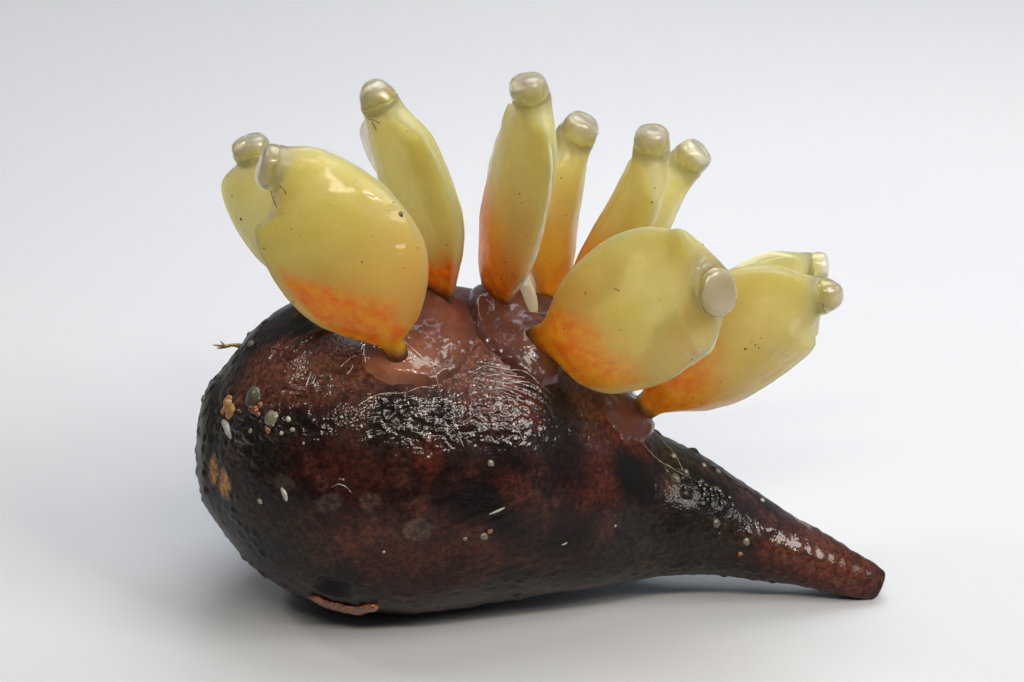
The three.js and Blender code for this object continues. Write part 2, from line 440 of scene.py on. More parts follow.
def bodyPoint(x, angle, lift=0.0):
    reach = bodyRadius(x) + lift
    x = x + 0 * reach
    return np.stack([x, bodyDepth(x) + reach * np.sin(angle), bodyHeight(x) + reach * np.cos(angle)], -1)


def bodyNormal(x, angle):
    step = 0.04

    def slope(curve):
        return (curve(x + step) - curve(x - step)) / (2 * step)

    lean = slope(bodyRadius) + slope(bodyDepth) * np.sin(angle) + slope(bodyHeight) * np.cos(angle)
    return unit(np.stack([-lean, np.sin(angle) + 0 * lean, np.cos(angle) + 0 * lean], -1))


def spread(x, angle, spot):
    # how far from a spot's middle, where 1 is its edge; a spot is its x, its angle and its two half sizes
    middle, turn, along, around = spot[:4]
    turned = (angle - math.radians(turn) + math.pi) % (2 * math.pi) - math.pi
    return np.hypot((x - middle) / along, turned * bodyRadius(x) / around)


bodyRelief = {
    "swell": (0.2, 7.0),  # height and size of the slow swellings
    "dents": (0.09, 2.4),
    "warts": 0.8,  # size of the coarse grains that roughen the outline
    "wartHeight": 0.25,
    "grit": 0.34,  # size of the fine grains
    "gritHeight": 0.06,
    "wrinkles": 0.6,  # size of the squiggly wrinkles of the wet band
    "wrinkleHeight": 0.11,
    # how rough the skin is all over, and how much more on the blunt end, the tail, underneath and behind
    "rough": 0.12,
    "roughParts": (0.85, 0.85, 0.7, 0.35),
    # spots: x, angle, half size along and half size around
    "smoothCrown": (4.0, -12, 10.5, 7.0),
    "wetBands": [  # where the water stands in the wrinkles
        (3.0, -54, 5.4, 2.7), (7.2, -42, 3.6, 3.6), (8.3, -56, 2.6, 2.4), (-7.2, -55, 3.8, 1.9),
        (-4.6, -42, 2.6, 0.9), (-3.8, -77, 1.2, 0.5), (12.6, -44, 1.6, 1.6),
    ],
    "glossyTail": (26.0, -36, 3.6, 2.0),
    "leftEnd": (-13.3, -20, 6.2, 40),
    "growthLines": {"spot": (7.4, -38, 3.0, 2.0), "spacing": 0.52, "height": 0.045},
    "ovals": {"spot": (0.5, -71, 5.4, 3.6), "spacing": 1.0, "height": 0.02},
    "lowLines": {"spot": (6.5, -104, 8.0, 3.6), "spacing": 0.95, "height": 0.022},
    # low rings left by things that once grew there
    "scars": [(-3.9, -84, 0.95, 0.85), (-1.4, -83, 0.8, 0.75), (1.6, -93.5, 1.15, 0.9)],
    "scarHeight": 0.09,
    "fold": [(-6.4, -26), (-5.2, -21), (-3.6, -18.3), (-1.5, -18.7), (-0.4, -21)],
    "foldHeight": 0.35,
    "foldWidth": 0.38,
    "pit": {"spot": (-3.9, -122, 1.5, 1.4), "depth": 0.6},
    "tailRings": {"from": 25.0, "spacing": 0.85, "height": 0.02},
}


def slowRelief(points):
    height, size = bodyRelief["swell"]
    dent, dentSize = bodyRelief["dents"]
    return height * lumps(points, size, 11) + dent * lumps(points, dentSize, 12)


def foldDistance(x, angle):
    # signed distance in mm from the fold, positive above it
    line = smoothPath(bodyRelief["fold"], 30)
    radius = bodyRadius(line[:, 0])
    best = np.full(len(x), 99.0)
    sign = np.ones(len(x))
    for (foldX, foldAngle), r in zip(line, radius):
        around = (angle - math.radians(foldAngle)) * r
        distance = np.hypot(x - foldX, around)
        closer = distance < best
        best = np.where(closer, distance, best)
        sign = np.where(closer, np.sign(around), sign)
    return best * sign


def inside(spot, x, angle, points, ragged=0.25):
    # 1 within a spot, fading to 0 over its ragged edge
    return 1 - smooth(spread(x, angle, spot) + ragged * lumps(points, 1.6, 32), 0.6, 1.15)


def skinRelief(x, angle):
    # height of the skin over the plain shape, and masks of where it is rough and wet
    r = bodyRelief
    points = bodyPoint(x, angle)
    crown = 1 - smooth(spread(x, angle, r["smoothCrown"]) + 0.12 * lumps(points, 2.2, 31), 0.7, 1.1)
    wet = np.max([inside(spot, x, angle, points) for spot in r["wetBands"]], axis=0)
    gloss = inside(r["glossyTail"], x, angle, points, 0.15)
    left = 1 - smooth(spread(x, angle, r["leftEnd"]) + 0.2 * lumps(points, 3.0, 33), 0.75, 1.2)
    tail = smooth(x, 14.5, 18.0) * (1 - 0.8 * smooth(x, 22.5, 25.5))
    under = smooth(-np.cos(angle) + 0.15 * lumps(points, 3.0, 34), 0.0, 0.8)
    behind = smooth(np.sin(angle), 0.2, 0.7)
    parts = zip((left, tail, under, behind), r["roughParts"])
    rough = np.clip(r["rough"] + sum(part * share for part, share in parts), 0, 1)
    rough = rough * (1 - 0.95 * crown) * (0.55 + 0.45 * lumps(points, 2.0, 35)) * (1 - 0.8 * gloss)
    fine = np.clip(0.16 + 0.5 * rough, 0, 1) * (1 - 0.85 * crown)

    near, mark = grains(points, r["warts"], 41)
    warts = r["wartHeight"] * rough * (0.1 + 0.9 * mark**2) * (1 - smooth(near, 0.1, 0.66))
    near, mark = grains(points, r["grit"], 51)
    grit = r["gritHeight"] * fine * (0.2 + 0.8 * mark) * (1 - smooth(near, 0.05, 0.6)) * (1 - 0.95 * gloss)
    warp = points + 0.45 * np.stack([lumps(points, 1.1, k) for k in (61, 62, 63)], -1)
    ridges = (1 - np.abs(lumps(warp, r["wrinkles"], 64))) ** 2
    ridges = ridges + 0.5 * (1 - np.abs(lumps(warp, 0.5 * r["wrinkles"], 65))) ** 2
    wrinkled = (wet * (1 - 0.7 * crown) + 0.3 * fine) * (1 - 0.9 * gloss)
    wrinkles = r["wrinkleHeight"] * wrinkled * (ridges - 0.6)
    film = 0.1 * lumps(points, 1.3, 66) + 0.05 * lumps(points, 0.6, 67)
    height = slowRelief(points) + warts + grit + wrinkles + gloss * film

    for key in ("growthLines", "ovals", "lowLines"):
        lines, spot = r[key], r[key]["spot"]  # shallow lines in a patch of their own
        arc = (angle - math.radians(spot[1])) * bodyRadius(x)
        out = spread(x, angle, spot)
        course = {"growthLines": arc + 0.1 * (x - spot[0]), "ovals": out * spot[3],
                  "lowLines": arc - 0.35 * (x - spot[0])}[key] + 0.3 * lumps(points, 1.8, 71)
        waves = np.sin(2 * math.pi * course / lines["spacing"])
        height = height + lines["height"] * (1 - smooth(out, 0.5, 1.1)) * waves
    for scar in r["scars"]:
        distance = spread(x, angle, scar)
        rim = np.exp(-(((distance - 0.85) / 0.13) ** 2))
        height = height + r["scarHeight"] * rim * (0.6 + 0.4 * np.sin(angle * 9 + x))
        height = height - 0.6 * (warts + grit) * (1 - smooth(distance, 0.7, 1.0))
    fold = foldDistance(x, angle)
    height = height + r["foldHeight"] * np.exp(-((fold / r["foldWidth"]) ** 2))
    height = height - 0.8 * r["foldHeight"] * np.exp(-(((fold - 0.9) / 0.5) ** 2))
    height = height - r["pit"]["depth"] * (1 - smooth(spread(x, angle, r["pit"]["spot"]), 0.4, 1.0))
    rings = r["tailRings"]
    wave = np.sin(2 * math.pi * (x + 0.26 * lumps(points, 1.5, 72)) / rings["spacing"])
    height = height + rings["height"] * smooth(x, rings["from"], 28) * wave
    crinkle = np.clip(wet * (1 - gloss) + rough, 0, 1)
    return height, {"wet": np.maximum(wet, gloss), "crinkle": crinkle, "rough": rough}


def asArrays(x, angle):
    # places along the body, and angles in degrees, as two arrays; the angles come back in radians
    return np.atleast_1d(np.asarray(x, float)), np.radians(np.atleast_1d(np.asarray(angle, float)))


def onSkin(x, angle, lift=0.0, pads=()):
    # points over the finished skin, or over the pads that lie on it, and the plain body's normals there
    x, angle = asArrays(x, angle)
    height, _ = skinRelief(x, angle)
    for pad in pads:
        height = np.maximum(height, membraneLift(pad, x, angle)[0])
    normal = bodyNormal(x, angle)
    return bodyPoint(x, angle) + normal * (height + lift)[:, None], normal


# Stains on the skin: x, angle, the half sizes along and around in mm, and how strong each is.
stains = {
    "blush": [
        (3.6, -17, 8.2, 5.6, 1.0), (-3.0, -36, 4.8, 3.2, 0.6), (11.5, -24, 3.0, 2.6, 0.5),
        (-7.2, -33, 3.6, 3.2, 0.8), (-1.0, -98, 7.0, 3.0, 0.22), (28.6, -66, 4.2, 2.6, 0.35),
    ],
    "rust": [
        (2.3, -68, 1.1, 2.2, 0.8), (12.6, -58, 2.6, 3.8, 0.75), (15.0, -24, 2.2, 3.2, 0.95),
        (8.0, -48, 3.2, 1.8, 0.8), (-2.4, -70, 3.0, 2.6, 0.45), (3.0, -112, 6.0, 3.4, 0.35),
        (7.5, -80, 1.6, 1.8, 0.5), (28.5, -70, 4.6, 5.0, 1.0), (28.0, -15, 1.6, 1.4, 0.9),
        (28.5, 110, 4.6, 5.0, 0.8),
    ],
    # near-black stains on the skin; the same near-black is also painted as shade inside the hollow cut end
    "darkStainAndPaintedShade": [
        (5.4, -84, 2.8, 1.6, 0.9), (11.0, -50, 1.9, 4.4, 0.9), (15.8, -52, 1.7, 2.2, 1.0),
        (-0.8, -62, 1.0, 2.0, 0.6), (-3.9, -122, 1.6, 1.5, 1.0), (-4.6, -13, 4.0, 1.1, 0.9),
        (20.6, -38, 2.6, 1.6, 0.95), (9.5, -92, 3.4, 1.6, 0.55), (17.5, -75, 3.0, 2.0, 0.6),
    ],
    "silt": [
        (-12.5, -30, 4.2, 16, 0.75), (-9.0, -110, 7.0, 6.0, 0.6), (18.0, -110, 6.0, 5.0, 0.7),
        (19.0, 0, 5.0, 4.0, 0.6), (0.0, -60, 4.0, 1.8, 0.4), (-8.0, -60, 3.6, 3.0, 0.4),
        (4.0, 120, 16.0, 9.0, 0.6),
    ],
    "sand": [
        (-11.7, -80, 0.35, 1.0, 0.8), (-10.9, -86, 0.5, 1.2, 1.0),
    ],
    "ash": [  # the greyish discs inside the ring scars
        (-3.9, -84, 0.9, 0.8, 0.22), (-1.4, -83, 0.75, 0.7, 0.25), (1.6, -93.5, 1.1, 0.9, 0.34),
        (-6.9, -78, 0.8, 0.6, 0.25),
    ],
}
# how ragged a stain's edge is, where it starts to fade and where it ends
stainEdges = {"soft": (0.28, 0.45, 1.15), "ash": (0.06, 0.75, 1.0)}


def stainMask(name, x, angle, points):
    ragged, full, gone = stainEdges.get(name, stainEdges["soft"])
    ragged = ragged * lumps(points, 1.5, 81) + 0.12 * lumps(points, 0.5, 82)
    mask = np.zeros(len(x))
    for spot in stains[name]:
        mask = np.maximum(mask, spot[4] * (1 - smooth(spread(x, angle, spot) + ragged, full, gone)))
    return mask


# each tint is a stain's colour, except that the near-black one also paints the shade inside the hollow end
tunicTints = [  # stain, and its light and dark flecks
    ("silt", "#2b281f", "#110e0b"), ("rust", "#4b2013", "#250c08"), ("blush", "#653b2a", "#3f2117"),
    ("darkStainAndPaintedShade", "#070404", "#0c0606"), ("ash", "#5e564c", "#453c35"), ("sand", "#a37a3c", "#7a5036"),
]


def wetTunic():
    # Sea squirt tunic: a natural cellulose leather, grown in wrinkles and wet with sea water.
    # It looks dark and mottled, with a sharp film of water over a duller hide.
    material, tree, shader, place = newMaterial("wet_tunic_leather")
    blotch = addNode(tree, "TexNoise",
                     {"Vector": place, "Scale": perMm(2.6), "Detail": 4.0, "Roughness": 0.62})
    fleck = addNode(tree, "TexNoise",
                    {"Vector": place, "Scale": perMm(0.36), "Detail": 3.0, "Roughness": 0.72})
    hide = addNode(tree, "ValToRGB", {"Fac": blotch},
                   [(0.34, "#0a0303"), (0.7, "#40231a"), (0.52, "#1d0c0a")])
    tints = [(key, addNode(tree, "MixRGB", {"Fac": fleck, "Color1": linear(dark), "Color2": linear(light)}))
             for key, light, dark in tunicTints]
    hide = layColours(tree, hide, tints)
    speck = addNode(tree, "MapRange",
                    {"Value": fleck, "From Min": 0.35, "From Max": 0.68, "To Min": 0.42, "To Max": 1.7})
    hide = addNode(tree, "VectorMath", {0: hide, 1: speck}, operation="MULTIPLY")
    wet = addNode(tree, "Attribute", attribute_name="wet").outputs["Fac"]
    # pores, drawn coarser than the real ones so that they show
    pores = addNode(tree, "TexVoronoi", {"Vector": place, "Scale": perMm(0.2)})
    crease = addNode(tree, "TexNoise", {"Vector": place, "Scale": perMm(0.25), "Detail": 2.0})
    relief = addNode(tree, "Math", {0: pores, 1: crease}, operation="ADD")
    crinkle = addNode(tree, "Attribute", attribute_name="crinkle").outputs["Fac"]
    depth = addNode(tree, "MapRange", {"Value": crinkle, "To Min": 0.26, "To Max": 0.45})
    bump = addNode(tree, "Bump", {"Height": relief, "Strength": depth, "Distance": 0.05 * mm})
    film = addNode(tree, "MapRange", {"Value": wet, "To Min": 0.28, "To Max": 0.85})
    setShader(tree, shader, Base_Color=hide, Roughness=0.5, Specular_IOR_Level=0.08, Normal=bump,
              Coat_Weight=film, Coat_Roughness=0.06, Coat_IOR=1.45, Coat_Normal=bump)
    return material


def makeBody():
    shape = bodyShape
    start = shape["stations"][0][0]
    fineX = start + (shape["end"] - start) * np.linspace(0, 1, 6000) ** 2.2
    length = np.concatenate([[0], np.cumsum(np.hypot(np.diff(fineX), np.diff(bodyRadius(fineX))))])
    ringX = np.interp(np.linspace(0.05, length[-1], shape["rings"]), length, fineX)
    turn = np.linspace(-math.pi, math.pi, shape["around"], endpoint=False)
    turn = turn - shape["crowding"] * np.sin(turn - math.radians(shape["crowdedAngle"]))
    x = np.repeat(ringX, shape["around"])
    angle = np.tile(turn, shape["rings"])
    height, masks = skinRelief(x, angle)
    base = bodyPoint(x, angle)
    points = base + bodyNormal(x, angle) * height[:, None]
    middle = bodyPoint(x, angle, -bodyRadius(x))
    square = smooth(x, shape["leanFrom"], shape["end"])
    points[:, 0] += shape["endLean"] * square * (points - middle)[:, 2]
    for name in stains:
        masks[name] = stainMask(name, x, angle, base)
    masks["silt"] = np.maximum(masks["silt"], 0.5 * masks.pop("rough") * (1 - masks["rust"]))
    points[:, 2] = np.maximum(points[:, 2], shape["floorGap"])
    rings = points.reshape(shape["rings"], shape["around"], 3)
    masks = {key: values.reshape(rings.shape[:2]) for key, values in masks.items()}
    last = rings[-1]
    centre = last.mean(0)
    into = unit(np.array([-1.0, 0, shape["endLean"]]))
    inner = np.stack([centre + (last - centre) * share + into * depth for share, depth in shape["hollow"]])
    innerMasks = {key: np.repeat(values[-1:], len(inner), 0) for key, values in masks.items()}
    # painted shade: the deep rings of the hollow are made near-black, as the shade inside the hole
    innerMasks["darkStainAndPaintedShade"][2:] = 0.95
    innerMasks["rust"][:2] = 0.7
    rings = np.concatenate([rings, inner])
    masks = {key: np.concatenate([masks[key], innerMasks[key]]) for key in masks}
    solids = ("body", "tail_root", "tail_tip")
    makePiece("tunic", [{"rings": rings, "masks": masks}], wetTunic(), solids)


makeBody()
print("body made")

# Membranes that the capsules stand on

# What each number of a capsule says:
#   foot: x and angle on the body; rise: its direction there
#   tip: where its plug sits; arrive: its direction there; face: the plug's direction
#   width, thickness: full sizes; turn: degrees that its broad side is turned away from the front
#   skew: slides its right edge ahead along the length, and its left edge back, by these shares
#   plug: radius and height; dome: how round the plug's top is; base: half width kept down to the foot
#   eggs: how far up they reach, how that tilts across, how softly it ends; eggEdge: how far across
#   ripe: turns the eggs from yellow to red; pale: least paleness of the wall
#   amber: how deep the wall's colour is low down, and how far up; amberSide: deepens it to one edge
#   neck: where it narrows, how much of the plug its rim covers, how pointed and how round its shoulders are
#   swells: for one edge each, how much it swells, and where along it that starts, peaks and ends
usualCapsule = {"skew": (0, 0), "swells": [], "eggEdge": 0.93, "amberSide": 0, "dome": 0.1, "pale": 0}
capsules = [
    {"foot": (-2.0, 0), "rise": (-0.4, 0, 1), "tip": (-9.1, 4.5, 29.5), "arrive": (-0.2, 0.1, 0.9),
     "face": (-0.3, 0.1, 0.9), "width": 10.2, "thickness": 3.4, "turn": 28, "plug": (1.3, 1.3), "base": 0.8,
     "eggs": (0.1, 0.0, 0.08), "ripe": 0.4, "amber": (0.25, 0.5), "neck": (0.88, 0.34, -0.1, 1)},
    {"foot": (0.4, -34), "rise": (-0.35, -0.3, 1), "tip": (-6.85, -6.0, 33.0), "arrive": (-0.75, 0, 0.75),
     "face": (-0.97, -0.1, 0.28), "width": 9.8, "thickness": 4.2, "turn": 0, "skew": (-0.42, -0.24),
     "plug": (1.42, 1.1), "base": 0.8, "eggs": (0.37, -0.24, 0.07), "eggEdge": 0.8, "ripe": 0.25,
     "amber": (0.5, 0.85), "amberSide": 0.9, "neck": (0.72, 0.34, 0.0, 1),
     "swells": [(1, -0.3, -0.15, 0.15, 0.6), (-1, 0.34, 0.86, 0.95, 1.05)]},
    {"foot": (2.9, -4), "rise": (0, 0, 1), "tip": (-0.7, 1.5, 34.4), "arrive": (-0.4, 0, 0.9),
     "face": (-0.4, 0, 0.9), "width": 9.4, "thickness": 3.6, "turn": 58, "plug": (1.35, 1.4), "dome": 0.4,
     "base": 2.5, "eggs": (0.2, 0.0, 0.05), "ripe": 0.9, "amber": (0.5, 0.55),
     "neck": (0.84, 0.25, -0.05, 0.4)},
    {"foot": (6.7, 1), "rise": (0, -0.1, 1), "tip": (9.0, -3.5, 36.6), "arrive": (-0.02, 0, 1),
     "face": (-0.26, 0, 1), "width": 9.2, "thickness": 3.0, "turn": 68, "plug": (1.32, 1.45), "base": 2.8,
     "eggs": (0.36, -0.1, 0.16), "ripe": 0.55, "amber": (0.75, 0.75), "neck": (0.92, 0.2, 0.0, 0.3)},
    {"foot": (10.1, 22), "rise": (0, 0.1, 1), "tip": (11.75, 6.0, 30.3), "arrive": (0.3, 0.1, 0.9),
     "face": (0.5, 0, 0.85), "width": 8.4, "thickness": 2.6, "turn": -66, "plug": (1.38, 1.5), "base": 2.8,
     "eggs": (0.16, 0.0, 0.2), "ripe": 0.5, "amber": (0.9, 1.1), "neck": (0.88, 0.2, 0.2, 0)},
    {"foot": (11.3, 8), "rise": (0.35, 0, 1), "tip": (16.7, 0.5, 31.6), "arrive": (0.1, 0, 1),
     "face": (0.05, 0, 1), "width": 8.4, "thickness": 2.8, "turn": 80, "plug": (1.28, 1.4), "base": 2.0,
     "eggs": (0.4, -0.05, 0.2), "ripe": 0.6, "amber": (0.9, 0.9), "neck": (0.86, 0.2, 0.0, 0.2)},
    {"foot": (13.6, 34), "rise": (0.25, 0.2, 1), "tip": (19.1, 9.0, 27.3), "arrive": (0.5, 0, 0.9),
     "face": (0.7, 0, 0.7), "width": 8.4, "thickness": 2.6, "turn": -72, "plug": (1.32, 1.45), "base": 1.8,
     "eggs": (0.1, 0.0, 0.1), "ripe": 0.5, "amber": (0.6, 0.9), "neck": (0.86, 0.2, 0.0, 0)},
    {"foot": (9.2, -20), "rise": (1.0, -0.8, 0.3), "tip": (20.5, -7.5, 25.3), "arrive": (0.4, -0.8, 0.25),
     "face": (0.5, -0.8, 0.15), "width": 10.6, "thickness": 4.2, "turn": 0, "skew": (-0.36, -0.36),
     "plug": (1.52, 0.6), "base": 1.2, "eggs": (0.33, 0.2, 0.13), "eggEdge": 0.78, "ripe": 0.15,
     "amber": (0.45, 0.6), "neck": (0.8, 0.02, 0.0, 1), "swells": [(-1, 0.5, 0.8, 0.98, 1.06)]},
    {"foot": (16.4, 0), "rise": (0.78, 0, 0.62), "tip": (27.6, -1.5, 22.4), "arrive": (0.85, -0.2, 0.2),
     "face": (0.87, -0.2, 0.1), "width": 11.4, "thickness": 4.2, "turn": -26, "plug": (1.28, 1.2),
     "dome": 0.4, "base": 1.2, "eggs": (0.38, -0.22, 0.16), "eggEdge": 0.84, "ripe": 0.2,
     "amber": (0.55, 0.95), "neck": (0.74, 0.3, 0.0, 1), "swells": [(1, 0.5, 0.86, 0.95, 1.03)]},
    {"foot": (16.4, 38), "rise": (0.7, 0.1, 0.5), "tip": (27.5, 7.5, 20.5), "arrive": (0.9, 0, 0.05),
     "face": (0.95, 0, 0.1), "width": 8.8, "thickness": 3.4, "turn": -42, "plug": (1.05, 1.1), "base": 1.1,
     "eggs": (0.0, 0.0, 0.1), "ripe": 0.2, "pale": 0.2, "amber": (0.1, 0.5), "neck": (0.8, 0.1, 0.0, 0.7)},
]

membraneShape = {
    "shoulder": 0.45,  # where the top starts to slope down, as a share of the way out
    "sink": 0.14,  # the rim ends this far under the skin
    "footSwell": 0.7,  # how high the membrane climbs round a capsule's foot
    "footReach": 1.1,
    "under": 0.5,  # the underside lies this deep in the skin
    "pads": [
        {"name": "membrane_left", "x": 1.4, "angle": -19, "along": 4.1, "around": 5.6, "rise": 0.42,
         "lip": 0.3, "lipFrom": -140, "lipTo": -20, "waves": 0.14, "dusk": 0},
        {"name": "membrane_middle", "x": 8.3, "angle": -3, "along": 3.5, "around": 6.4, "rise": 0.55,
         "lip": 0.3, "lipFrom": -190, "lipTo": -20, "waves": 0.22, "dusk": 0.5},
        {"name": "membrane_right", "x": 14.5, "angle": 2, "along": 2.6, "around": 4.7, "rise": 0.28,
         "lip": 0.05, "lipFrom": -180, "lipTo": 180, "waves": 0.1, "dusk": 1.0},
    ],
    "glow": (-0.4, -39, 2.4, 1.4),  # a lighter spot: x, angle and half sizes
}


def basalJelly():
    # Basal membrane of egg capsules: hardened mucus, laid wet over the skin. It looks fleshy and
    # brown-pink, lets a little light in and has a clear glossy skin.
    material, tree, shader, place = newMaterial("hardened_mucus_membrane")
    cloud = addNode(tree, "TexNoise",
                    {"Vector": place, "Scale": perMm(2.4), "Detail": 3.0, "Roughness": 0.6})
    flesh = addNode(tree, "ValToRGB", {"Fac": cloud},
                    [(0.3, "#47221a"), (0.72, "#7e4d39"), (0.5, "#603529")])
    layers = [("thin", linear("#40221a")), ("dusk", linear("#40211a")), ("glow", linear("#8f5b40"))]
    flesh = layColours(tree, flesh, layers)
    ripple = addNode(tree, "TexNoise", {"Vector": place, "Scale": perMm(0.5), "Detail": 2.0})
    bump = addNode(tree, "Bump", {"Height": ripple, "Strength": 0.5, "Distance": 0.12 * mm})
    setShader(tree, shader, Base_Color=flesh, Roughness=0.5, Specular_IOR_Level=0.12, Normal=bump,
              Coat_Weight=0.8, Coat_Roughness=0.06, Coat_IOR=1.4, Coat_Normal=bump,
              Subsurface_Weight=0.3, Subsurface_Scale=0.6 * mm, Subsurface_Radius=(1.0, 0.45, 0.3))
    return material


def membraneOutline(pad, turn):
    # how far out the ragged rim lies in each direction, as a share of the pad's half sizes
    phase = pad["x"]
    slow = 0.05 * np.sin(2 * turn + phase) + 0.05 * np.sin(3 * turn + 2.1 * phase)
    return 1 + (slow + 0.025 * np.sin(5 * turn + phase))


def membraneLift(pad, x, angle):
    # height over the plain body; under the skin beyond the rim
    shape = membraneShape
    points = bodyPoint(x, angle)
    along = (x - pad["x"]) / pad["along"]
    around = (angle - math.radians(pad["angle"])) * bodyRadius(np.array([pad["x"]])) / pad["around"]
    turn = np.arctan2(around, along)
    out = np.hypot(along, around) / membraneOutline(pad, turn)  # share of the way out to the rim
    slope = smooth(out, shape["shoulder"], 1.0)
    middle = math.radians((pad["lipFrom"] + pad["lipTo"]) / 2)
    half = math.radians((pad["lipTo"] - pad["lipFrom"]) / 2)
    away = np.abs((turn - middle + math.pi) % (2 * math.pi) - math.pi)
    lipped = 1 - smooth(away, half * 0.6, half * 1.05)
    lip = pad["lip"] * lipped * (0.8 + 0.4 * lumps(points, 1.4, 93)) * np.exp(-(((out - 0.82) / 0.1) ** 2))
    lift = pad["rise"] * (1 - slope) - shape["sink"] * slope + lip
    lift = lift + (pad["waves"] * lumps(points, 1.5, 91) + 0.06 * lumps(points, 0.6, 92)) * (1 - slope)
    seam = np.exp(-(((out - 0.9) / 0.12) ** 2))  # the rim is beaded
    lift = lift + 0.11 * seam * lumps(points, 0.42, 94)
    crinkled = smooth(out, 0.45, 0.8) * smooth(lumps(points, 2.6, 95), -0.1, 0.5)
    lift = lift + 0.07 * crinkled * lumps(points, 0.55, 96)
    for capsule in capsules:
        footX, footAngle = capsule["foot"]
        distance = np.hypot(x - footX, (angle - math.radians(footAngle)) * bodyRadius(x))
        reach = shape["footReach"] + 0.5 * capsule["base"]
        climb = np.exp(-((distance / reach) ** 2))
        lift = lift + shape["footSwell"] * climb * (1 - smooth(out, 0.85, 1.0))
    return np.where(out > 1, -shape["sink"], lift) + slowRelief(points), slope


def makeMembranes():
    material = basalJelly()
    turn = np.linspace(-math.pi, math.pi, 240, endpoint=False)
    out = np.linspace(0.015, 1, 110) ** 0.85
    for pad in membraneShape["pads"]:
        reach = membraneOutline(pad, turn)
        x = (pad["x"] + out[:, None] * (pad["along"] * reach * np.cos(turn))[None]).ravel()
        around = out[:, None] * (pad["around"] * reach * np.sin(turn))[None]
        angle = (math.radians(pad["angle"]) + around / bodyRadius(np.array([pad["x"]]))).ravel()
        lift, slope = membraneLift(pad, x, angle)
        base, normal = bodyPoint(x, angle), bodyNormal(x, angle)
        top = (base + normal * lift[:, None]).reshape(len(out), len(turn), 3)
        low = (base - normal * membraneShape["under"]).reshape(len(out), len(turn), 3)
        dusk = 1 - smooth(np.abs(lumps(base, 3.0, 97) + 0.2), 0.1, 0.6)
        dusk = np.maximum(dusk, pad["dusk"])
        glow = np.exp(-(spread(x, angle, membraneShape["glow"]) ** 2))
        masks = {}
        for key, values in (("thin", slope), ("dusk", 0.8 * dusk), ("glow", glow)):
            values = values.reshape(len(out), len(turn))
            masks[key] = np.concatenate([values, values[::-4]])
        skin = {"rings": np.concatenate([top, low[::-4]]), "masks": masks}
        makePiece(pad["name"] + "_skin", [skin], material, (pad["name"],))


makeMembranes()
print("membranes made")

# Egg capsules

capsuleShape = {
    # share of the length, and share of the full width or thickness there
    "widthShares": [[0, 0.12], [0.06, 0.14], [0.2, 0.65], [0.35, 0.92], [0.55, 1], [0.8, 0.88],
                    [0.92, 0.68], [1, 0.38]],
    "thicknessShares": [[0, 0.3], [0.06, 0.34], [0.2, 0.72], [0.4, 0.98], [0.6, 1], [0.8, 0.94], [1, 0.72]],
    "edgeThinning": 0.35,
    "neckShare": 0.2,
    "riseReach": 4,
    "arriveReach": 4.5,
    "startLift": 1.1,  # the capsule's own length starts this far over the plain skin
    "rootShare": 0.05,  # its foot goes on below that for this share of its length
    "rootDepth": 0.8,  # and this far into the skin, flaring
    "rootFlare": 0.9,
    "footBlend": 4,
    "rings": 120,
    "around": 72,
    "flangeOverlap": 0.08,  # how far a clear strip reaches back into the wall, as a share of the half width
    "flangeHalfThickness": 0.12,
    "plugGap": 0.3,
    "collarReach": 10,  # how far the mouth's rim runs on past the end, for each length
    "lumps": [(0.1, 3.0, 101), (0.035, 0.9, 120)],  # height, size and seed of the wall's unevenness
    "rimThinning": [0.03, 0.06, 0.1, 0.3],  # the mouth's rim thins out on to the plug
    # the plug's outline, for a radius and height of 1: a stem in the neck, a low collar and a flat dome
    "plugProfile": [(0.1, -0.5), (0.7, -0.45), (0.86, -0.2), (0.95, 0.0), (1.0, 0.2), (1.0, 0.4),
                    (0.99, 0.58), (0.95, 0.75), (0.86, 0.89), (0.68, 0.99), (0.4, 1.03), (0.1, 1.04)],
    "plugRings": 44,
    "plugAround": 48,
    "plugOval": (1.06, 0.94),
    "plugLumps": [(0.1, 1.5, 160), (0.04, 0.5, 170)],
}

# Clear strips along the capsules' edges: which capsule and edge, how wide, from where to where along it,
# and how much further it stands out.
flanges = [
    {"capsule": 3, "edge": -1, "width": 1.0, "from": 0.58, "to": 0.97, "out": 1.3},
    {"capsule": 4, "edge": -1, "width": 0.65, "from": 0.12, "to": 0.86},
    {"capsule": 4, "edge": 1, "width": 0.2, "from": 0.1, "to": 0.9},
    {"capsule": 5, "edge": -1, "width": 0.55, "from": 0.03, "to": 0.3},
    {"capsule": 6, "edge": -1, "width": 0.6, "from": 0.15, "to": 0.92},
    {"capsule": 7, "edge": 1, "width": 0.3, "from": 0.2, "to": 0.85},
    {"capsule": 8, "edge": 1, "width": 0.35, "from": 0.62, "to": 0.94},
    {"capsule": 10, "edge": -1, "width": 0.7, "from": 0.2, "to": 0.95},
    {"capsule": 1, "edge": 1, "width": 0.3, "from": 0.2, "to": 0.8},
]


def capsuleFrame(capsule):
    shape = capsuleShape
    footX, footAngle = asArrays(*capsule["foot"])
    start = bodyPoint(footX, footAngle, shape["startLift"])[0]
    end = np.array(capsule["tip"], float)
    rise, arrive = unit(np.array(capsule["rise"], float)), unit(np.array(capsule["arrive"], float))
    chord = unit(end - start)
    side = unit(np.cross([0, 1, 0], chord))
    turn = math.radians(-capsule["turn"])
    return {
        "controls": [start, start + rise * shape["riseReach"], end - arrive * shape["arriveReach"], end],
        "broad": side * math.cos(turn) + np.cross(chord, side) * math.sin(turn),
        "plugAxis": unit(np.array(capsule["face"], float)),
        "rootNormal": bodyNormal(footX, footAngle)[0],
    }


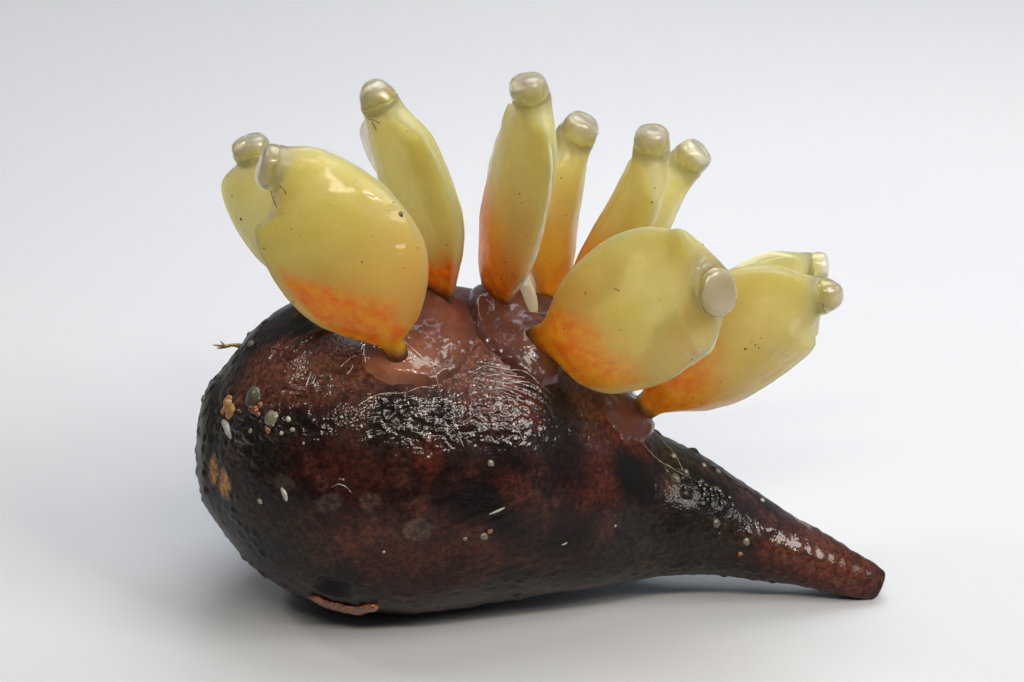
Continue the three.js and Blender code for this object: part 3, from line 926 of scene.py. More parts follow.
def capsuleSections(capsule, own, share):
    # middle, directions and half sizes at each share of the length; below 0 is the flaring foot
    shape = capsuleShape
    below = np.clip(-share, 0, None)[:, None] / shape["rootShare"]
    t = np.clip(share, 0, 1)[:, None]
    a, b, c, d = own["controls"]
    middle = (1 - t) ** 3 * a + 3 * (1 - t) ** 2 * t * b + 3 * (1 - t) * t * t * c + t**3 * d
    tangent = unit(3 * (1 - t) ** 2 * (b - a) + 6 * (1 - t) * t * (c - b) + 3 * t * t * (d - c))
    neck = smooth(t, 1 - shape["neckShare"], 1)
    along = unit(tangent * (1 - neck) + own["plugAxis"] * neck)
    broad = unit(own["broad"] - along * (along @ own["broad"])[:, None])
    thin = np.cross(broad, along)
    halfThickness = alongTable(shape["thicknessShares"], t[:, 0], 1) * capsule["thickness"] / 2
    halfWidth = alongTable(shape["widthShares"], t[:, 0], 1) * capsule["width"] / 2
    halfWidth = np.maximum(halfWidth, halfThickness)
    collar = capsule["plug"][0]  # the neck turns round, to hold the plug
    narrowing, _, taper, roundness = capsule["neck"]
    fall = np.clip((share - narrowing) / (1 - narrowing), 0, 1)
    mouth = (1 - roundness) * smooth(fall, 0, 1) + roundness * (1 - np.sqrt(1 - fall**2))
    early = smooth(share, 0.8, 1.0)
    pointed = 1 - taper * np.clip((share - 0.55) / 0.45, 0, 1) ** 1.2
    halfWidth = np.maximum(halfWidth * pointed, halfThickness)
    halfWidth = halfWidth * (1 - mouth) + 1.03 * collar * mouth
    halfThickness = halfThickness * (1 - early) + 0.97 * collar * early
    middle = middle + own["plugAxis"] * np.clip(share - 1, 0, 1)[:, None] * shape["collarReach"]
    flare = 1 + shape["rootFlare"] / (1 + 2 * capsule["base"]) * below[:, 0] ** 2
    base = capsule["base"] * (1 - smooth(share, 0.3, 0.6))
    base = base * (0.7 + 0.3 * smooth(share, -shape["rootShare"], 0.14))
    blend = shape["footBlend"]
    halfWidth = (halfWidth**blend + base**blend) ** (1 / blend)
    halfThickness = (halfThickness**blend + (0.4 * base) ** blend) ** (1 / blend)
    middle = middle - own["rootNormal"] * shape["rootDepth"] * below
    return {"share": share, "middle": middle, "along": along, "broad": broad, "thin": thin,
            "halfWidth": halfWidth * flare, "halfThickness": halfThickness * (0.5 + 0.5 * flare)}


def capsulePoints(capsule, sections, across, through, lift=0.0):
    # points of the skin for each section; across and through are arrays of sections by points
    halfWidth, halfThickness = sections["halfWidth"][:, None], sections["halfThickness"][:, None]
    flatness = np.minimum(halfWidth / halfThickness - 1, 1)
    bulge = through * (1 - capsuleShape["edgeThinning"] * flatness * across**2)
    right, left = capsule["skew"]
    slide = np.where(across < 0, left, right) * across * (halfWidth - halfThickness)
    share = sections["share"][:, None]
    for edge, amount, start, peak, end in capsule["swells"]:
        swell = amount * smooth(share, start, peak) * (1 - smooth(share, peak, end))
        across = across * np.where(across * edge > 0, 1 + swell, 1)
    broad, thin, along = (sections[key][:, None] for key in ("broad", "thin", "along"))
    outward = unit(broad * (across / halfWidth)[..., None] + thin * (through / halfThickness)[..., None])
    points = sections["middle"][:, None] + broad * (across * halfWidth)[..., None]
    points = points + thin * (bulge * halfThickness)[..., None] + along * slide[..., None]
    return points + outward * np.asarray(lift)[..., None]


def flangeWidth(flange, share):
    start = smooth(share, flange["from"], flange["from"] + 0.16)
    return flange["width"] * start * (1 - smooth(share, flange["to"] - 0.14, flange["to"]))


def capsuleWall():
    # Capsule wall: conchiolin-like protein, secreted and moulded by the snail's foot, and full of fluid.
    # It looks like wet yellow jelly: light comes through it, and the eggs show orange inside. Its edges are
    # painted paler, as painted light shining through the thin edges.
    material, tree, shader, place = newMaterial("moulded_protein_capsule_wall")
    cloud = addNode(tree, "TexNoise", {"Vector": place, "Scale": perMm(3.2), "Detail": 3.0})
    wall = addNode(tree, "ValToRGB", {"Fac": cloud}, [(0.3, "#dacf70"), (0.7, "#e8de92")])
    egg = addNode(tree, "TexNoise", {"Vector": place, "Scale": perMm(0.7), "Detail": 2.5})  # clumps of eggs
    young = addNode(tree, "ValToRGB", {"Fac": egg}, [(0.36, "#f48200"), (0.64, "#ffc224")])
    ripe = addNode(tree, "ValToRGB", {"Fac": egg}, [(0.36, "#e45200"), (0.64, "#fc8c00")])
    yolk = layColours(tree, young, [("ripe", ripe)])
    # the pale layer also carries a painted band of light along both edges
    wall = layColours(tree, wall, [("amber", linear("#d59a22")), ("eggs", yolk),
                                   ("pale", linear("#e9e4c8")), ("rooted", linear("#55301f"))])
    mote = addNode(tree, "TexNoise", {"Vector": place, "Scale": perMm(0.3), "Detail": 2.0})
    dim = addNode(tree, "MapRange",
                  {"Value": mote, "From Min": 0.3, "From Max": 0.6, "To Min": 0.95, "To Max": 1.0})
    wall = addNode(tree, "VectorMath", {0: wall, 1: dim}, operation="MULTIPLY")
    ripple = addNode(tree, "TexNoise", {"Vector": place, "Scale": perMm(0.8), "Detail": 2.0})
    wrinkled = addNode(tree, "Attribute", attribute_name="wrinkled").outputs["Fac"]
    depth = addNode(tree, "MapRange", {"Value": wrinkled, "To Min": 0.06, "To Max": 1.0})
    film = addNode(tree, "MapRange", {"Value": wrinkled, "To Min": 0.34, "To Max": 1.0})
    rim = addNode(tree, "Attribute", attribute_name="pale").outputs["Fac"]
    clear = addNode(tree, "MapRange", {"Value": rim, "From Max": 0.7, "To Min": 0.6, "To Max": 0.86})
    crease = addNode(tree, "Bump", {"Height": ripple, "Strength": depth, "Distance": 0.6 * mm})
    bump = addNode(tree, "Bump", {"Height": ripple, "Strength": 0.06, "Distance": 0.6 * mm})
    setShader(tree, shader, Base_Color=wall, Roughness=0.45, IOR=1.36, Specular_IOR_Level=0.15, Normal=bump,
              Coat_Weight=film, Coat_Roughness=0.05, Coat_IOR=1.36, Coat_Normal=crease,
              Transmission_Weight=clear, Subsurface_Weight=1.0, Subsurface_Scale=4 * mm,
              Subsurface_Radius=(1.0, 0.75, 0.35))
    return material


def capsuleFlange():
    # The wall's two edges, where its halves meet: clear protein without fluid, like wet horn.
    # It looks like a pale glassy strip.
    material, tree, shader, place = newMaterial("clear_protein_flange")
    streak = addNode(tree, "TexNoise", {"Vector": place, "Scale": perMm(0.8), "Detail": 2.0})
    horn = addNode(tree, "ValToRGB", {"Fac": streak}, [(0.3, "#eee8c4"), (0.7, "#faf8ea")])
    setShader(tree, shader, Base_Color=horn, Roughness=0.18, Alpha=0.5, Subsurface_Weight=0.5,
              Subsurface_Scale=0.8 * mm)
    return material


def capsulePlug():
    # The plug in a capsule's mouth: a clear gel, set hard. It looks glassy and a little milky.
    material, tree, shader, place = newMaterial("set_gel_plug")
    cloud = addNode(tree, "TexNoise", {"Vector": place, "Scale": perMm(0.9), "Detail": 3.0})
    milk = addNode(tree, "ValToRGB", {"Fac": cloud}, [(0.3, "#e2d9c4"), (0.7, "#f5f0e4")])
    milk = layColours(tree, milk, [("low", linear("#dcd28a"))])
    ripple = addNode(tree, "TexNoise", {"Vector": place, "Scale": perMm(0.5), "Detail": 2.0})
    bump = addNode(tree, "Bump", {"Height": ripple, "Strength": 0.3, "Distance": 0.06 * mm})
    setShader(tree, shader, Base_Color=milk, Roughness=0.16, IOR=1.34, Transmission_Weight=0.8, Normal=bump,
              Coat_Weight=0.8, Coat_Roughness=0.05, Coat_IOR=1.38,
              Subsurface_Weight=0.5, Subsurface_Scale=0.8 * mm, Subsurface_Radius=(1.0, 0.95, 0.85))
    return material


def unevenness(points, table, number):
    # soft lumps of a few heights and sizes, which differ from capsule to capsule
    spots = points.reshape(-1, 3)
    total = sum(height * lumps(spots, size, seed + number) for height, size, seed in table)
    return total.reshape(points.shape[:2])


def makeWall(number, capsule, own, strips, material):
    shape, label = capsuleShape, f"capsule_{number:02d}"
    reach = (shape["plugGap"] + capsule["neck"][1] * capsule["plug"][1]) / shape["collarReach"]
    past = np.linspace(1, 1 + reach, 9)[1:]  # the clear rim round the plug
    root = np.linspace(-shape["rootShare"], 0, 8)[:-1]
    share = np.concatenate([root, np.linspace(0, 1, shape["rings"]), past])
    sections = capsuleSections(capsule, own, share)
    turn = np.linspace(0, 2 * math.pi, shape["around"], endpoint=False)[None, :]
    core = np.ones((len(share), shape["around"]))
    for strip in strips:  # the wall gives way to the clear strips
        narrow = 1 - flangeWidth(strip, share) / sections["halfWidth"]
        core = np.where(np.cos(turn) * strip["edge"] > 0, narrow[:, None], core)
    across, through = np.cos(turn) * core, np.sin(turn) * (0.7 + 0.3 * core)
    edge = np.abs(np.cos(turn)) + 0 * core
    flat = capsulePoints(capsule, sections, across, through)
    lift = unevenness(flat, shape["lumps"], number) * smooth(share, 0.02, 0.2)[:, None]
    lift[-4:] -= np.array(shape["rimThinning"])[:, None]
    rings = capsulePoints(capsule, sections, across, through, lift)

    level, tilt, softness = capsule["eggs"]
    border = level + tilt * across + unevenness(flat, [(0.05, 1.4, 141), (0.025, 0.5, 142)], number)
    eggs = (1 - smooth(share[:, None], border - softness, border + softness)) * (0.97 if level > 0 else 0)
    margin = capsule["eggEdge"]
    eggs = eggs * (1 - 0.85 * smooth(edge, margin, 0.4 * margin + 0.6) * smooth(share, 0.08, 0.25)[:, None])
    deep, upTo = capsule["amber"]
    amber = deep * (1 - smooth(share, 0.2 * upTo, upTo))[:, None] * (1 + capsule["amberSide"] * across)
    # paler near the plug, where the wall is clearer; and paler along both edges, which is painted light:
    # the glow of light through the thin edges
    pale = np.maximum(0.7 * smooth(share, 0.93, 1.03)[:, None], 0.3 * smooth(edge, 0.9, 1.0))
    rooted = 0.9 * (1 - smooth(share, -0.01, 0.07))[:, None]  # the foot takes the membrane's colour
    masks = {"eggs": eggs, "pale": np.maximum(pale, capsule["pale"]), "amber": np.clip(amber, 0, 1),
             "rooted": rooted, "wrinkled": np.array(0.0), "ripe": np.array(capsule["ripe"])}
    solids = (label + "_stalk", label + "_sac")
    makePiece(label + "_wall", [{"rings": rings, "masks": masks}], material, solids)
    return sections["broad"][-1]


def makeFlanges(number, capsule, own, strips, material):
    # clear strips along the edges, thin towards their rims
    right, left = capsule["skew"]
    steps, sides = np.array([0, 0.5, 1, 1, 0.5, 0]), np.array([-1, -0.8, -0.35, 0.35, 0.8, 1])
    skins = []
    for strip in strips:
        share = np.linspace(strip["from"], strip["to"], 80)
        part = capsuleSections(capsule, own, share)
        wide = flangeWidth(strip, share)
        inner = 1 - wide / part["halfWidth"] - capsuleShape["flangeOverlap"]
        rim = 1 + 0.015 * np.sin(share * 21 + number) + 0.01 * np.sin(share * 47 + 3 * number)
        rim = rim + strip.get("out", 0) * wide / strip["width"] / part["halfWidth"]
        place = strip["edge"] * (inner[:, None] + (rim - inner)[:, None] * steps[None])
        skew = right if strip["edge"] > 0 else left
        slide = skew * place * (part["halfWidth"] - part["halfThickness"])[:, None]
        out = place * part["halfWidth"][:, None]
        middle = part["middle"][:, None] + part["broad"][:, None] * out[..., None]
        middle = middle + part["along"][:, None] * slide[..., None]
        depth = capsuleShape["flangeHalfThickness"] * sides
        skins.append({"rings": middle + part["thin"][:, None] * depth[None, :, None]})
    if skins:
        makePiece(f"capsule_{number:02d}_flange", skins, material)


def makePlug(number, capsule, axis, broad, material):
    shape, label = capsuleShape, f"capsule_{number:02d}"
    radius, tall = capsule["plug"]
    profile = np.array(shape["plugProfile"])
    profile[:, 0] *= 1 - capsule["dome"] * np.clip(profile[:, 1], 0, 1) ** 1.5
    profile = smoothPath(profile * [radius, tall], shape["plugRings"])
    base = np.array(capsule["tip"], float) + axis * shape["plugGap"]
    wide, narrow = (profile[:, 0] * share for share in shape["plugOval"])
    path = base + axis * profile[:, 1:]
    rings = ovalRings(path, broad, np.cross(broad, axis), wide, narrow, shape["plugAround"])
    rough = unevenness(rings, shape["plugLumps"], number)[..., None]
    rings = rings + unit(rings - base - axis * 0.6) * rough
    low = 1 - smooth(profile[:, 1] / tall, 0.25, 0.95)
    skin = {"rings": rings, "masks": {"low": low[:, None]}}
    makePiece(label + "_plug", [skin], material, (label + "_cap",))


def makeCapsules():
    wall, flange = capsuleWall(), capsuleFlange()
    for number, capsule in enumerate(capsules, 1):
        capsule = {**usualCapsule, **capsule}
        own = capsuleFrame(capsule)
        strips = [strip for strip in flanges if strip["capsule"] == number]
        broad = makeWall(number, capsule, own, strips, wall)
        makeFlanges(number, capsule, own, strips, flange)
        makePlug(number, capsule, own["plugAxis"], broad, plugMaterial)
    makeTab(flange)


wallTab = {  # a pale tab of wall, left standing between the feet of the fourth and fifth capsules
    "line": [(9.1, -2.2, 21.6), (8.85, -2.3, 22.7), (8.55, -2.4, 23.7), (8.65, -2.4, 24.4)],
    "halfWidth": 0.5,
    "halfThickness": 0.18,
    "broad": (0.95, -0.3, 0),
    "thin": (0.3, 0.95, 0),
    "rings": 30,
    "around": 20,
}


def makeTab(material):
    tab = wallTab
    path = smoothPath(tab["line"], tab["rings"])
    half = tab["halfWidth"] * np.sin(np.linspace(0.5, math.pi - 0.12, tab["rings"])) ** 0.8
    broad, thin = np.array(tab["broad"]), np.array(tab["thin"])
    rings = ovalRings(path, broad, thin, half, tab["halfThickness"], tab["around"])
    makePiece("wall_tab", [{"rings": rings}], material)


plugMaterial = capsulePlug()
makeCapsules()
print("capsules made")

# What lies and grows on the skin

# Grains: x, angle, size, tone (0 orange, 0.3 yellow, 0.5 greenish, 0.7 pale, 1 white) and how flat.
sandGrains = [
    (-10.8, -38, 0.5, 0.3, 0.6), (-10.5, -44, 0.52, 0.3, 0.6), (-10.7, -35, 0.32, 0.26, 0.7),
    (-11.1, -41, 0.25, 0.3, 0.7), (-9.0, -41, 0.78, 0.5, 0.35), (-8.8, -48, 0.3, 0.02, 0.6),
    (-8.5, -46, 0.22, 0.1, 0.7), (-9.1, -46.5, 0.2, 0.0, 0.7), (-8.6, -50, 0.18, 0.05, 0.7),
    (-7.7, -52.5, 0.52, 0.68, 0.75), (-7.9, -57.5, 0.22, 0.12, 0.6), (-6.6, -54, 0.26, 0.95, 0.7),
    (-6.3, -58, 0.22, 0.85, 0.7), (-7.05, -59, 0.2, 0.9, 0.7), (-9.1, -57, 0.2, 0.75, 0.7),
    (-7.6, -55.5, 0.16, 0.9, 0.8), (-8.5, -88, 0.25, 0.8, 0.4), (-0.55, -102, 0.12, 1.0, 0.8),
    (6.3, -70, 0.25, 0.66, 0.7), (5.9, -98, 0.28, 0.6, 0.6), (6.3, -96, 0.2, 0.1, 0.5),
    (4.7, -98, 0.18, 0.75, 0.6), (14.4, -87.5, 0.12, 0.9, 0.8), (18.5, -39, 0.36, 0.55, 0.7),
    (-9.7, 20, 0.3, 0.55, 0.8), (-12.7, -6, 0.3, 0.6, 0.8), (-9.3, -7, 0.28, 0.55, 0.8),
    (-11.6, -2, 0.24, 0.5, 0.8), (-3.2, -54, 0.14, 0.9, 0.8), (-5.6, -63, 0.13, 0.8, 0.8),
    (18.4, -14, 0.22, 0.7, 0.8), (20.5, -8, 0.24, 0.75, 0.8), (21.4, -5, 0.2, 0.6, 0.8),
    (24.4, -4, 0.22, 0.8, 0.8), (19.2, -28, 0.2, 0.6, 0.8), (23.2, -78, 0.28, 0.6, 0.5),
    (21.2, -70, 0.3, 0.5, 0.5), (22.8, -96, 0.2, 0.12, 0.5), (25.4, -62, 0.18, 0.7, 0.6),
    (-4.5, 150, 0.3, 0.5, 0.6), (2.0, 95, 0.35, 0.6, 0.6), (-6.0, 80, 0.3, 0.3, 0.6),
    (9.0, 120, 0.28, 0.7, 0.6), (-9.5, 60, 0.4, 0.5, 0.5),
]

shellChips = [  # from and to on the skin, half width at the middle
    {"from": (-11.1, -47), "to": (-10.4, -60), "half": 0.34},
    {"from": (-7.1, -80), "to": (-6.75, -85.5), "half": 0.22},
    {"from": (6.2, -89.2), "to": (7.3, -86.6), "half": 0.1},
    {"from": (10.9, -103), "to": (11.3, -101), "half": 0.07},
]

mucusThreads = [  # thread half thickness, then its course over the skin
    (0.05, [(0.6, -29), (1.5, -33), (2.1, -35), (2.95, -36.5)]),
    (0.035, [(0.64, -32.5), (1.6, -35), (2.5, -35.5), (3.1, -37)]),
    (0.035, [(2.6, -37), (2.8, -40), (3.1, -45)]),
    (0.04, [(-2.1, -50), (-1.1, -47), (-0.25, -46), (0.8, -46), (1.8, -44), (2.7, -44)]),
    (0.04, [(5.4, -36), (6, -34), (6.8, -34), (7.8, -34), (8.6, -34.5), (9.4, -36)]),
    (0.03, [(6.5, -40), (7.4, -40), (8.2, -38), (8.8, -37)]),
    (0.03, [(6.1, -38), (7.0, -37), (7.9, -36), (8.5, -36)]),
    (0.035, [(7.7, -11), (9, -4), (9.4, 1)]),
    (0.045, [(-5.45, -43), (-5.3, -40), (-5.15, -37)]),
    (0.035, [(-5.0, -42), (-4.85, -40), (-4.9, -38.5)]),
    (0.045, [(-3.3, -36), (-2.9, -34), (-2.6, -32.5), (-2.3, -32)]),
    (0.04, [(-2.9, -39), (-2.6, -37), (-2.5, -35.5)]),
    (0.035, [(-3.9, -78.5), (-3.4, -77), (-2.9, -78), (-2.6, -80)]),
    (0.03, [(3.4, -56), (4.2, -60), (4.6, -64)]),
    (0.03, [(7.9, -56), (8.3, -60), (8.6, -63)]),
    (0.022, [(17.6, 5), (18.2, -6), (18.7, -18), (19.1, -30.5)]),
    (0.022, [(16.3, -22), (17.2, -27), (18.4, -30), (19.6, -33)]),
]


def quartzSand():
    # Sand: quartz and shell broken by the sea and worn round. The grains look wet, yellow to white.
    material, tree, shader, place = newMaterial("worn_quartz_sand")
    tone = addNode(tree, "Attribute", attribute_name="tone").outputs["Fac"]
    tones = [(0.0, "#6b3010"), (1.0, "#a5a59c"), (0.3, "#96692a"), (0.5, "#403e2c"), (0.7, "#6f6a54")]
    shade = addNode(tree, "ValToRGB", {"Fac": tone}, tones)
    cloud = addNode(tree, "TexNoise", {"Vector": place, "Scale": perMm(0.3), "Detail": 2.0})
    light = addNode(tree, "MapRange", {"Value": cloud, "To Min": 0.6, "To Max": 1.25})
    shade = addNode(tree, "VectorMath", {0: shade, 1: light}, operation="MULTIPLY")
    setShader(tree, shader, Base_Color=shade, Roughness=0.42, Coat_Weight=0.4, Coat_Roughness=0.12)
    return material


def drawnMucus():
    # Snail mucus drawn out into threads and dried a little: clear, whitish and shiny.
    material, tree, shader, place = newMaterial("drawn_mucus_thread")
    bead = addNode(tree, "TexNoise", {"Vector": place, "Scale": perMm(0.4), "Detail": 1.0})
    shade = addNode(tree, "ValToRGB", {"Fac": bead}, [(0.3, "#8c7a6a"), (0.7, "#d8cec0")])
    setShader(tree, shader, Base_Color=shade, Roughness=0.12, Alpha=0.75, Coat_Weight=1.0,
              Coat_Roughness=0.04)
    return material


def seaDirt(name, dark, light, rough):
    # Sea-bed dirt and torn scraps: rotted weed, tissue and mud, settled or dried on. It looks crumbly,
    # and glossy where wet.
    material, tree, shader, place = newMaterial(name)
    crumb = addNode(tree, "TexNoise", {"Vector": place, "Scale": perMm(0.25), "Detail": 2.0})
    shade = addNode(tree, "ValToRGB", {"Fac": crumb}, [(0.35, dark), (0.65, light)])
    setShader(tree, shader, Base_Color=shade, Roughness=rough, Coat_Weight=0.6, Coat_Roughness=0.08)
    return material


def makeGrains():
    skins, chips = [], []
    for index, (x, angle, size, tone, flat) in enumerate(sandGrains):
        size *= 0.75 if tone > 0.7 else 0.95  # pale grains are the smaller ones
        place, normal = onSkin(x, angle, -0.2 * size * flat)
        rings = pebble(place[0], normal[0], size, flat, index + 1, 1.12)
        skins.append({"rings": rings, "masks": {"tone": tone}})
    for chip in shellChips:
        line = smoothPath([chip["from"], np.add(chip["from"], chip["to"]) / 2 + [0.08, 0], chip["to"]], 14)
        path, _ = onSkin(line[:, 0], line[:, 1], -0.4 * chip["half"])
        width = chip["half"] * np.sin(np.linspace(0.25, math.pi - 0.1, 14)) ** 0.7
        chips.append({"rings": tube(path, width, 10), "masks": {"tone": 0.93}})
    makePiece("sand_grains", skins, quartzSand())
    makePiece("shell_chips", chips, quartzSand())


def makeThreads():
    skins = []
    for half, course in mucusThreads:
        line = smoothPath(course, 10 * len(course))
        path, _ = onSkin(line[:, 0], line[:, 1], 0, membraneShape["pads"])
        beads = 0.62 * half * (1 + 0.6 * lumps(path, 0.35, 201))
        skins.append({"rings": tube(path, beads, 8)})
    makePiece("mucus_threads", skins, drawnMucus())


# Crumbs in two patches: how many, the first x and angle and the patch's width in each, the smallest size
# and how much bigger they get, how far out they sit and how flat they are, and their seeds.
blackCrumbs = {"count": 26, "x": (18.8, 3.9), "angle": (-50, 18), "size": (0.1, 0.15), "out": 0.2,
               "flat": 0.8, "cell": (3, 7), "seed": 211, "rough": 60, "pads": ()}
gelCrumbs = {"count": 16, "x": (-0.45, 1.5), "angle": (-35.5, 8), "size": (0.1, 0.16), "out": 0.3,
             "flat": 0.9, "cell": (5, 2), "seed": 221, "rough": 90, "pads": membraneShape["pads"]}


def makeCrumbs(name, crumbs, material):
    skins = []
    for index in range(crumbs["count"]):
        cell = np.array([index, *crumbs["cell"]])
        x, angle, size = (crumbs[key][0] + crumbs[key][1] * cellRandom(cell, crumbs["seed"] + k)
                          for k, key in enumerate(("x", "angle", "size")))
        place, normal = onSkin(x, angle, size * crumbs["out"], crumbs["pads"])
        skins.append({"rings": pebble(place[0], normal[0], size, crumbs["flat"], index + crumbs["rough"])})
    makePiece(name, skins, material)


weedSprig = {  # a scrap of weed that sticks out of the blunt end; thicknesses at root and tip
    "root": (-10.3, 16),
    "stem": {"steps": [(0, 0, 0), (-0.6, -0.1, 0.12), (-1.2, -0.2, 0.1), (-1.9, -0.3, 0.22)],
             "thick": (0.16, 0.05)},
    "fork": {"from": 9, "steps": [(0, 0, 0), (-0.5, 0.1, -0.22), (-0.95, 0.1, -0.28)],
             "thick": (0.11, 0.04)},
    "twig": {"from": 14, "steps": [(0, 0, 0), (-0.2, 0, 0.2), (-0.32, 0, 0.34)], "thick": (0.08, 0.03)},
}


def makeSprig():
    root = onSkin(*weedSprig["root"], -0.1)[0][0]
    stem = smoothPath(root + weedSprig["stem"]["steps"], 24)
    knobs = 1 + 0.25 * lumps(stem, 0.3, 231)
    skins = [{"rings": tube(stem, np.linspace(*weedSprig["stem"]["thick"], 24) * knobs, 9)}]
    for key, count in (("fork", 14), ("twig", 10)):
        branch = weedSprig[key]
        path = smoothPath(stem[branch["from"]] + branch["steps"], count)
        skins.append({"rings": tube(path, np.linspace(*branch["thick"], count), 8)})
    makePiece("weed_sprig", skins, seaDirt("dried_weed", "#5a4a16", "#a08a3a", 0.5))


tissueShred = {  # an orange-brown shred of tissue under the blunt end
    "course": [(-5.3, -133), (-4.4, -139), (-3.2, -141), (-2.1, -138), (-1.2, -132)],
    "halfWidth": 0.95,
    "halfThickness": 0.2,
    "lift": 0.12,
    "rings": 40,
    "around": 16,
}


def makeShred():
    shred = tissueShred
    line = smoothPath(shred["course"], shred["rings"])
    path, normal = onSkin(line[:, 0], line[:, 1], shred["lift"])
    side = np.cross(unit(np.gradient(path, axis=0)), normal)
    half = shred["halfWidth"] * np.sin(np.linspace(0.2, math.pi - 0.15, shred["rings"])) ** 0.7
    half = half * (1 + 0.3 * lumps(path, 0.7, 241))
    rings = ovalRings(path, side, normal, half, shred["halfThickness"], shred["around"])
    makePiece("tissue_shred", [{"rings": rings}], seaDirt("torn_tissue", "#3a1405", "#9a5216", 0.5))


makeGrains()
makeThreads()
makeCrumbs("dirt_granules", blackCrumbs, seaDirt("wet_black_dirt", "#0a0a09", "#1c1a15", 0.25))
makeCrumbs("foot_gel_crumbs", gelCrumbs, plugMaterial)
makeSprig()
makeShred()
print("grains and threads made")

# Specks on the capsules, placed where the camera sees them

# Everything here is placed by u and v, in pixels of the camera's view, for each capsule's number.
viewWidth, viewHeight = 1024, 682
# specks: u, v and half size in mm
specks = {
    2: [
        (400.7, 214.3, 0.2), (254.7, 209, 0.1), (255.5, 217, 0.12), (258.5, 222.7, 0.11),
        (262.1, 194, 0.08), (265, 196, 0.06), (264, 248.5, 0.07), (291.3, 229, 0.06), (361.9, 262, 0.07),
        (355.4, 180.5, 0.05), (358.2, 164.5, 0.07), (417.4, 248, 0.06), (388.7, 210.6, 0.05),
        (393.3, 202.3, 0.06), (293.6, 301.5, 0.08), (300, 236, 0.04), (330, 205, 0.04), (310, 262, 0.04),
        (372, 236, 0.04), (344, 224, 0.035), (282, 214, 0.05), (404, 268, 0.05), (350, 250, 0.035),
    ],
    3: [(407.7, 131, 0.05), (446.9, 245, 0.06), (434, 265, 0.05), (428, 228, 0.04), (430, 200, 0.04)],
    4: [
        (519.4, 193.6, 0.07), (521.8, 202.7, 0.05), (510, 150, 0.05), (506, 262, 0.06), (501, 279, 0.07),
        (512, 274, 0.06), (530, 120, 0.04), (527, 236, 0.04),
    ],
    5: [(565.7, 215.5, 0.06), (551, 256, 0.05), (561, 178, 0.06), (560, 200, 0.04)],
    6: [(655, 188, 0.07), (651.8, 202, 0.08), (622, 210, 0.04), (612, 240, 0.04)],
    8: [
        (702.4, 244.5, 0.11), (705.5, 241.5, 0.09), (711, 248, 0.1), (585.5, 293, 0.07),
        (563.7, 328.6, 0.06), (707.5, 353.5, 0.1), (692, 359.5, 0.08), (640, 262, 0.04), (660, 300, 0.035),
        (620, 330, 0.04), (648, 350, 0.035),
    ],
    9: [
        (745.3, 349, 0.11), (755.5, 345, 0.09), (758.6, 347.6, 0.08), (752, 342, 0.06),
        (760.6, 338.4, 0.05), (720.8, 381.6, 0.06), (693, 397.5, 0.07), (701.8, 403.5, 0.08),
        (790, 330, 0.04), (772, 352, 0.04),
    ],
    1: [(241, 219, 0.12), (232, 196, 0.07), (228, 176, 0.06)],
}
# hairs: the u and v that each one runs through
hairs = {
    2: [
        [(280.6, 186.6), (284, 189.5), (286.5, 195)], [(271.3, 190.3), (273, 198), (277.2, 207.5)],
        [(281.5, 187.5), (279, 184.5)],
    ],
    3: [[(368.4, 118.8), (374.8, 120.1), (380.4, 123.8)], [(372.1, 121), (374.6, 125.5), (376.8, 130.2)]],
    8: [[(613.7, 288.4), (616.5, 289.5), (619.8, 291)]],
    9: [[(823.3, 303), (823.8, 306), (822.8, 309)]],
}
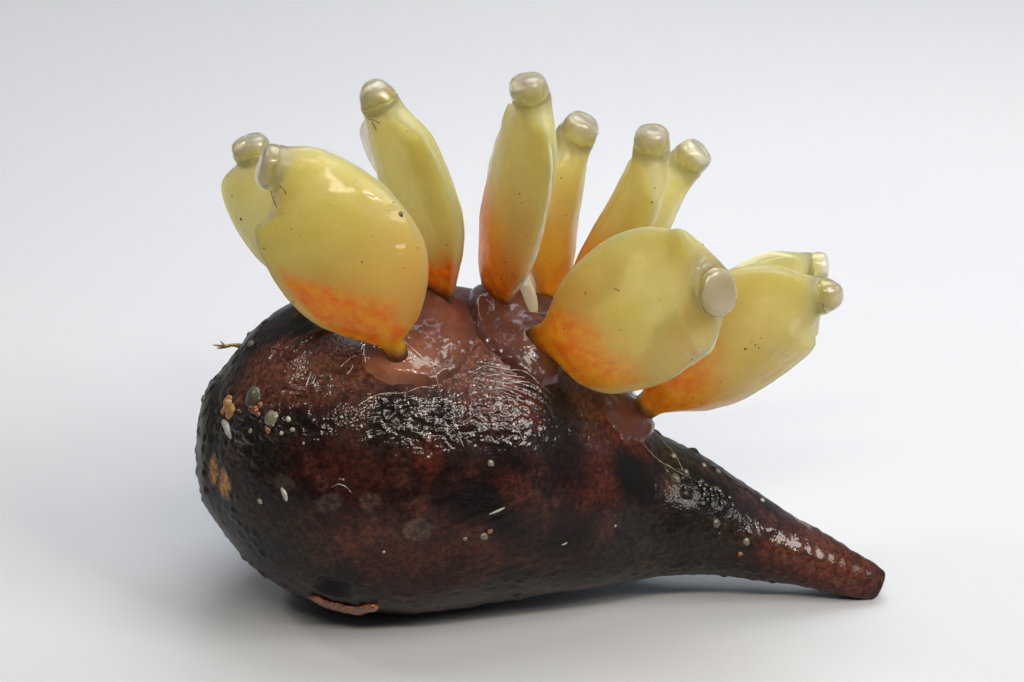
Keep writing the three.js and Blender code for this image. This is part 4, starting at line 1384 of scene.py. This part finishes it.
# wet, finely wrinkled places, which glint: u, v and radius in mm
wrinkledSpots = {
    2: [(288, 157, 0.8), (297, 163, 0.7), (284, 160, 0.5), (398, 184, 0.35), (402, 245, 0.4)],
    4: [(548, 92, 0.3), (545, 101, 0.3), (558, 165, 0.35)],
    5: [(563, 133, 0.4)],
    8: [(611, 361, 0.4), (603, 363, 0.3), (695, 352, 0.7), (688, 356, 0.6), (706, 243, 0.4)],
    9: [
        (798, 320, 0.7), (793, 328, 0.6), (812, 330, 0.5), (782, 334, 0.4), (776, 352, 0.5),
        (786, 358, 0.4), (812, 285, 0.4),
    ],
}


def seenAt(piece, u, v):
    # the point of a piece, and its normal, that the camera sees at a pixel
    camera = scene.camera
    reach = cameraView["lens"] / cameraView["sensor"] * viewWidth
    ray = Vector((u - viewWidth / 2, viewHeight / 2 - v, -reach))
    ray = camera.matrix_world.to_3x3() @ ray.normalized()
    hit, place, normal, _ = piece.ray_cast(camera.location, ray)
    return (np.array(place) / mm, np.array(normal)) if hit else None


def wallOf(number):
    return bpy.data.objects[f"capsule_{number:02d}_wall"]


def makeWrinkles():
    bpy.context.view_layer.update()
    for number, marks in wrinkledSpots.items():
        mesh = wallOf(number).data
        points = np.empty(3 * len(mesh.vertices), np.float32)
        mesh.vertices.foreach_get("co", points)
        points = points.reshape(-1, 3) / mm
        wrinkled = np.zeros(len(points), np.float32)
        for u, v, radius in marks:
            found = seenAt(wallOf(number), u, v)
            if found:
                away = np.linalg.norm(points - found[0], axis=1)
                wrinkled = np.maximum(wrinkled, 1 - smooth(away, 0.3 * radius, 1.4 * radius))
        mesh.attributes["wrinkled"].data.foreach_set("value", wrinkled.astype(np.float32))


def makeSpecks():
    skins, threads = [], []
    for number, marks in specks.items():
        for index, (u, v, size) in enumerate(marks):
            found = seenAt(wallOf(number), u, v)
            if found:
                (place, normal), size = found, 0.72 * size
                rings = pebble(place + normal * size * 0.1, normal, size, 0.6, index + 10 * number, 1.35)
                skins.append({"rings": rings})
    for number, lines in hairs.items():
        for line in lines:
            found = [seenAt(wallOf(number), u, v) for u, v in smoothPath(line, 10)]
            path = [place + normal * 0.03 for place, normal in filter(None, found)]
            if len(path) > 4:
                threads.append({"rings": tube(np.array(path), 0.035, 7)})
    dirt = seaDirt("dry_brown_dirt", "#3a2e18", "#6e5c34", 0.6)
    makePiece("dirt_specks", skins, dirt)
    makePiece("dirt_hairs", threads, dirt)


makeWrinkles()
makeSpecks()
print("specks made")
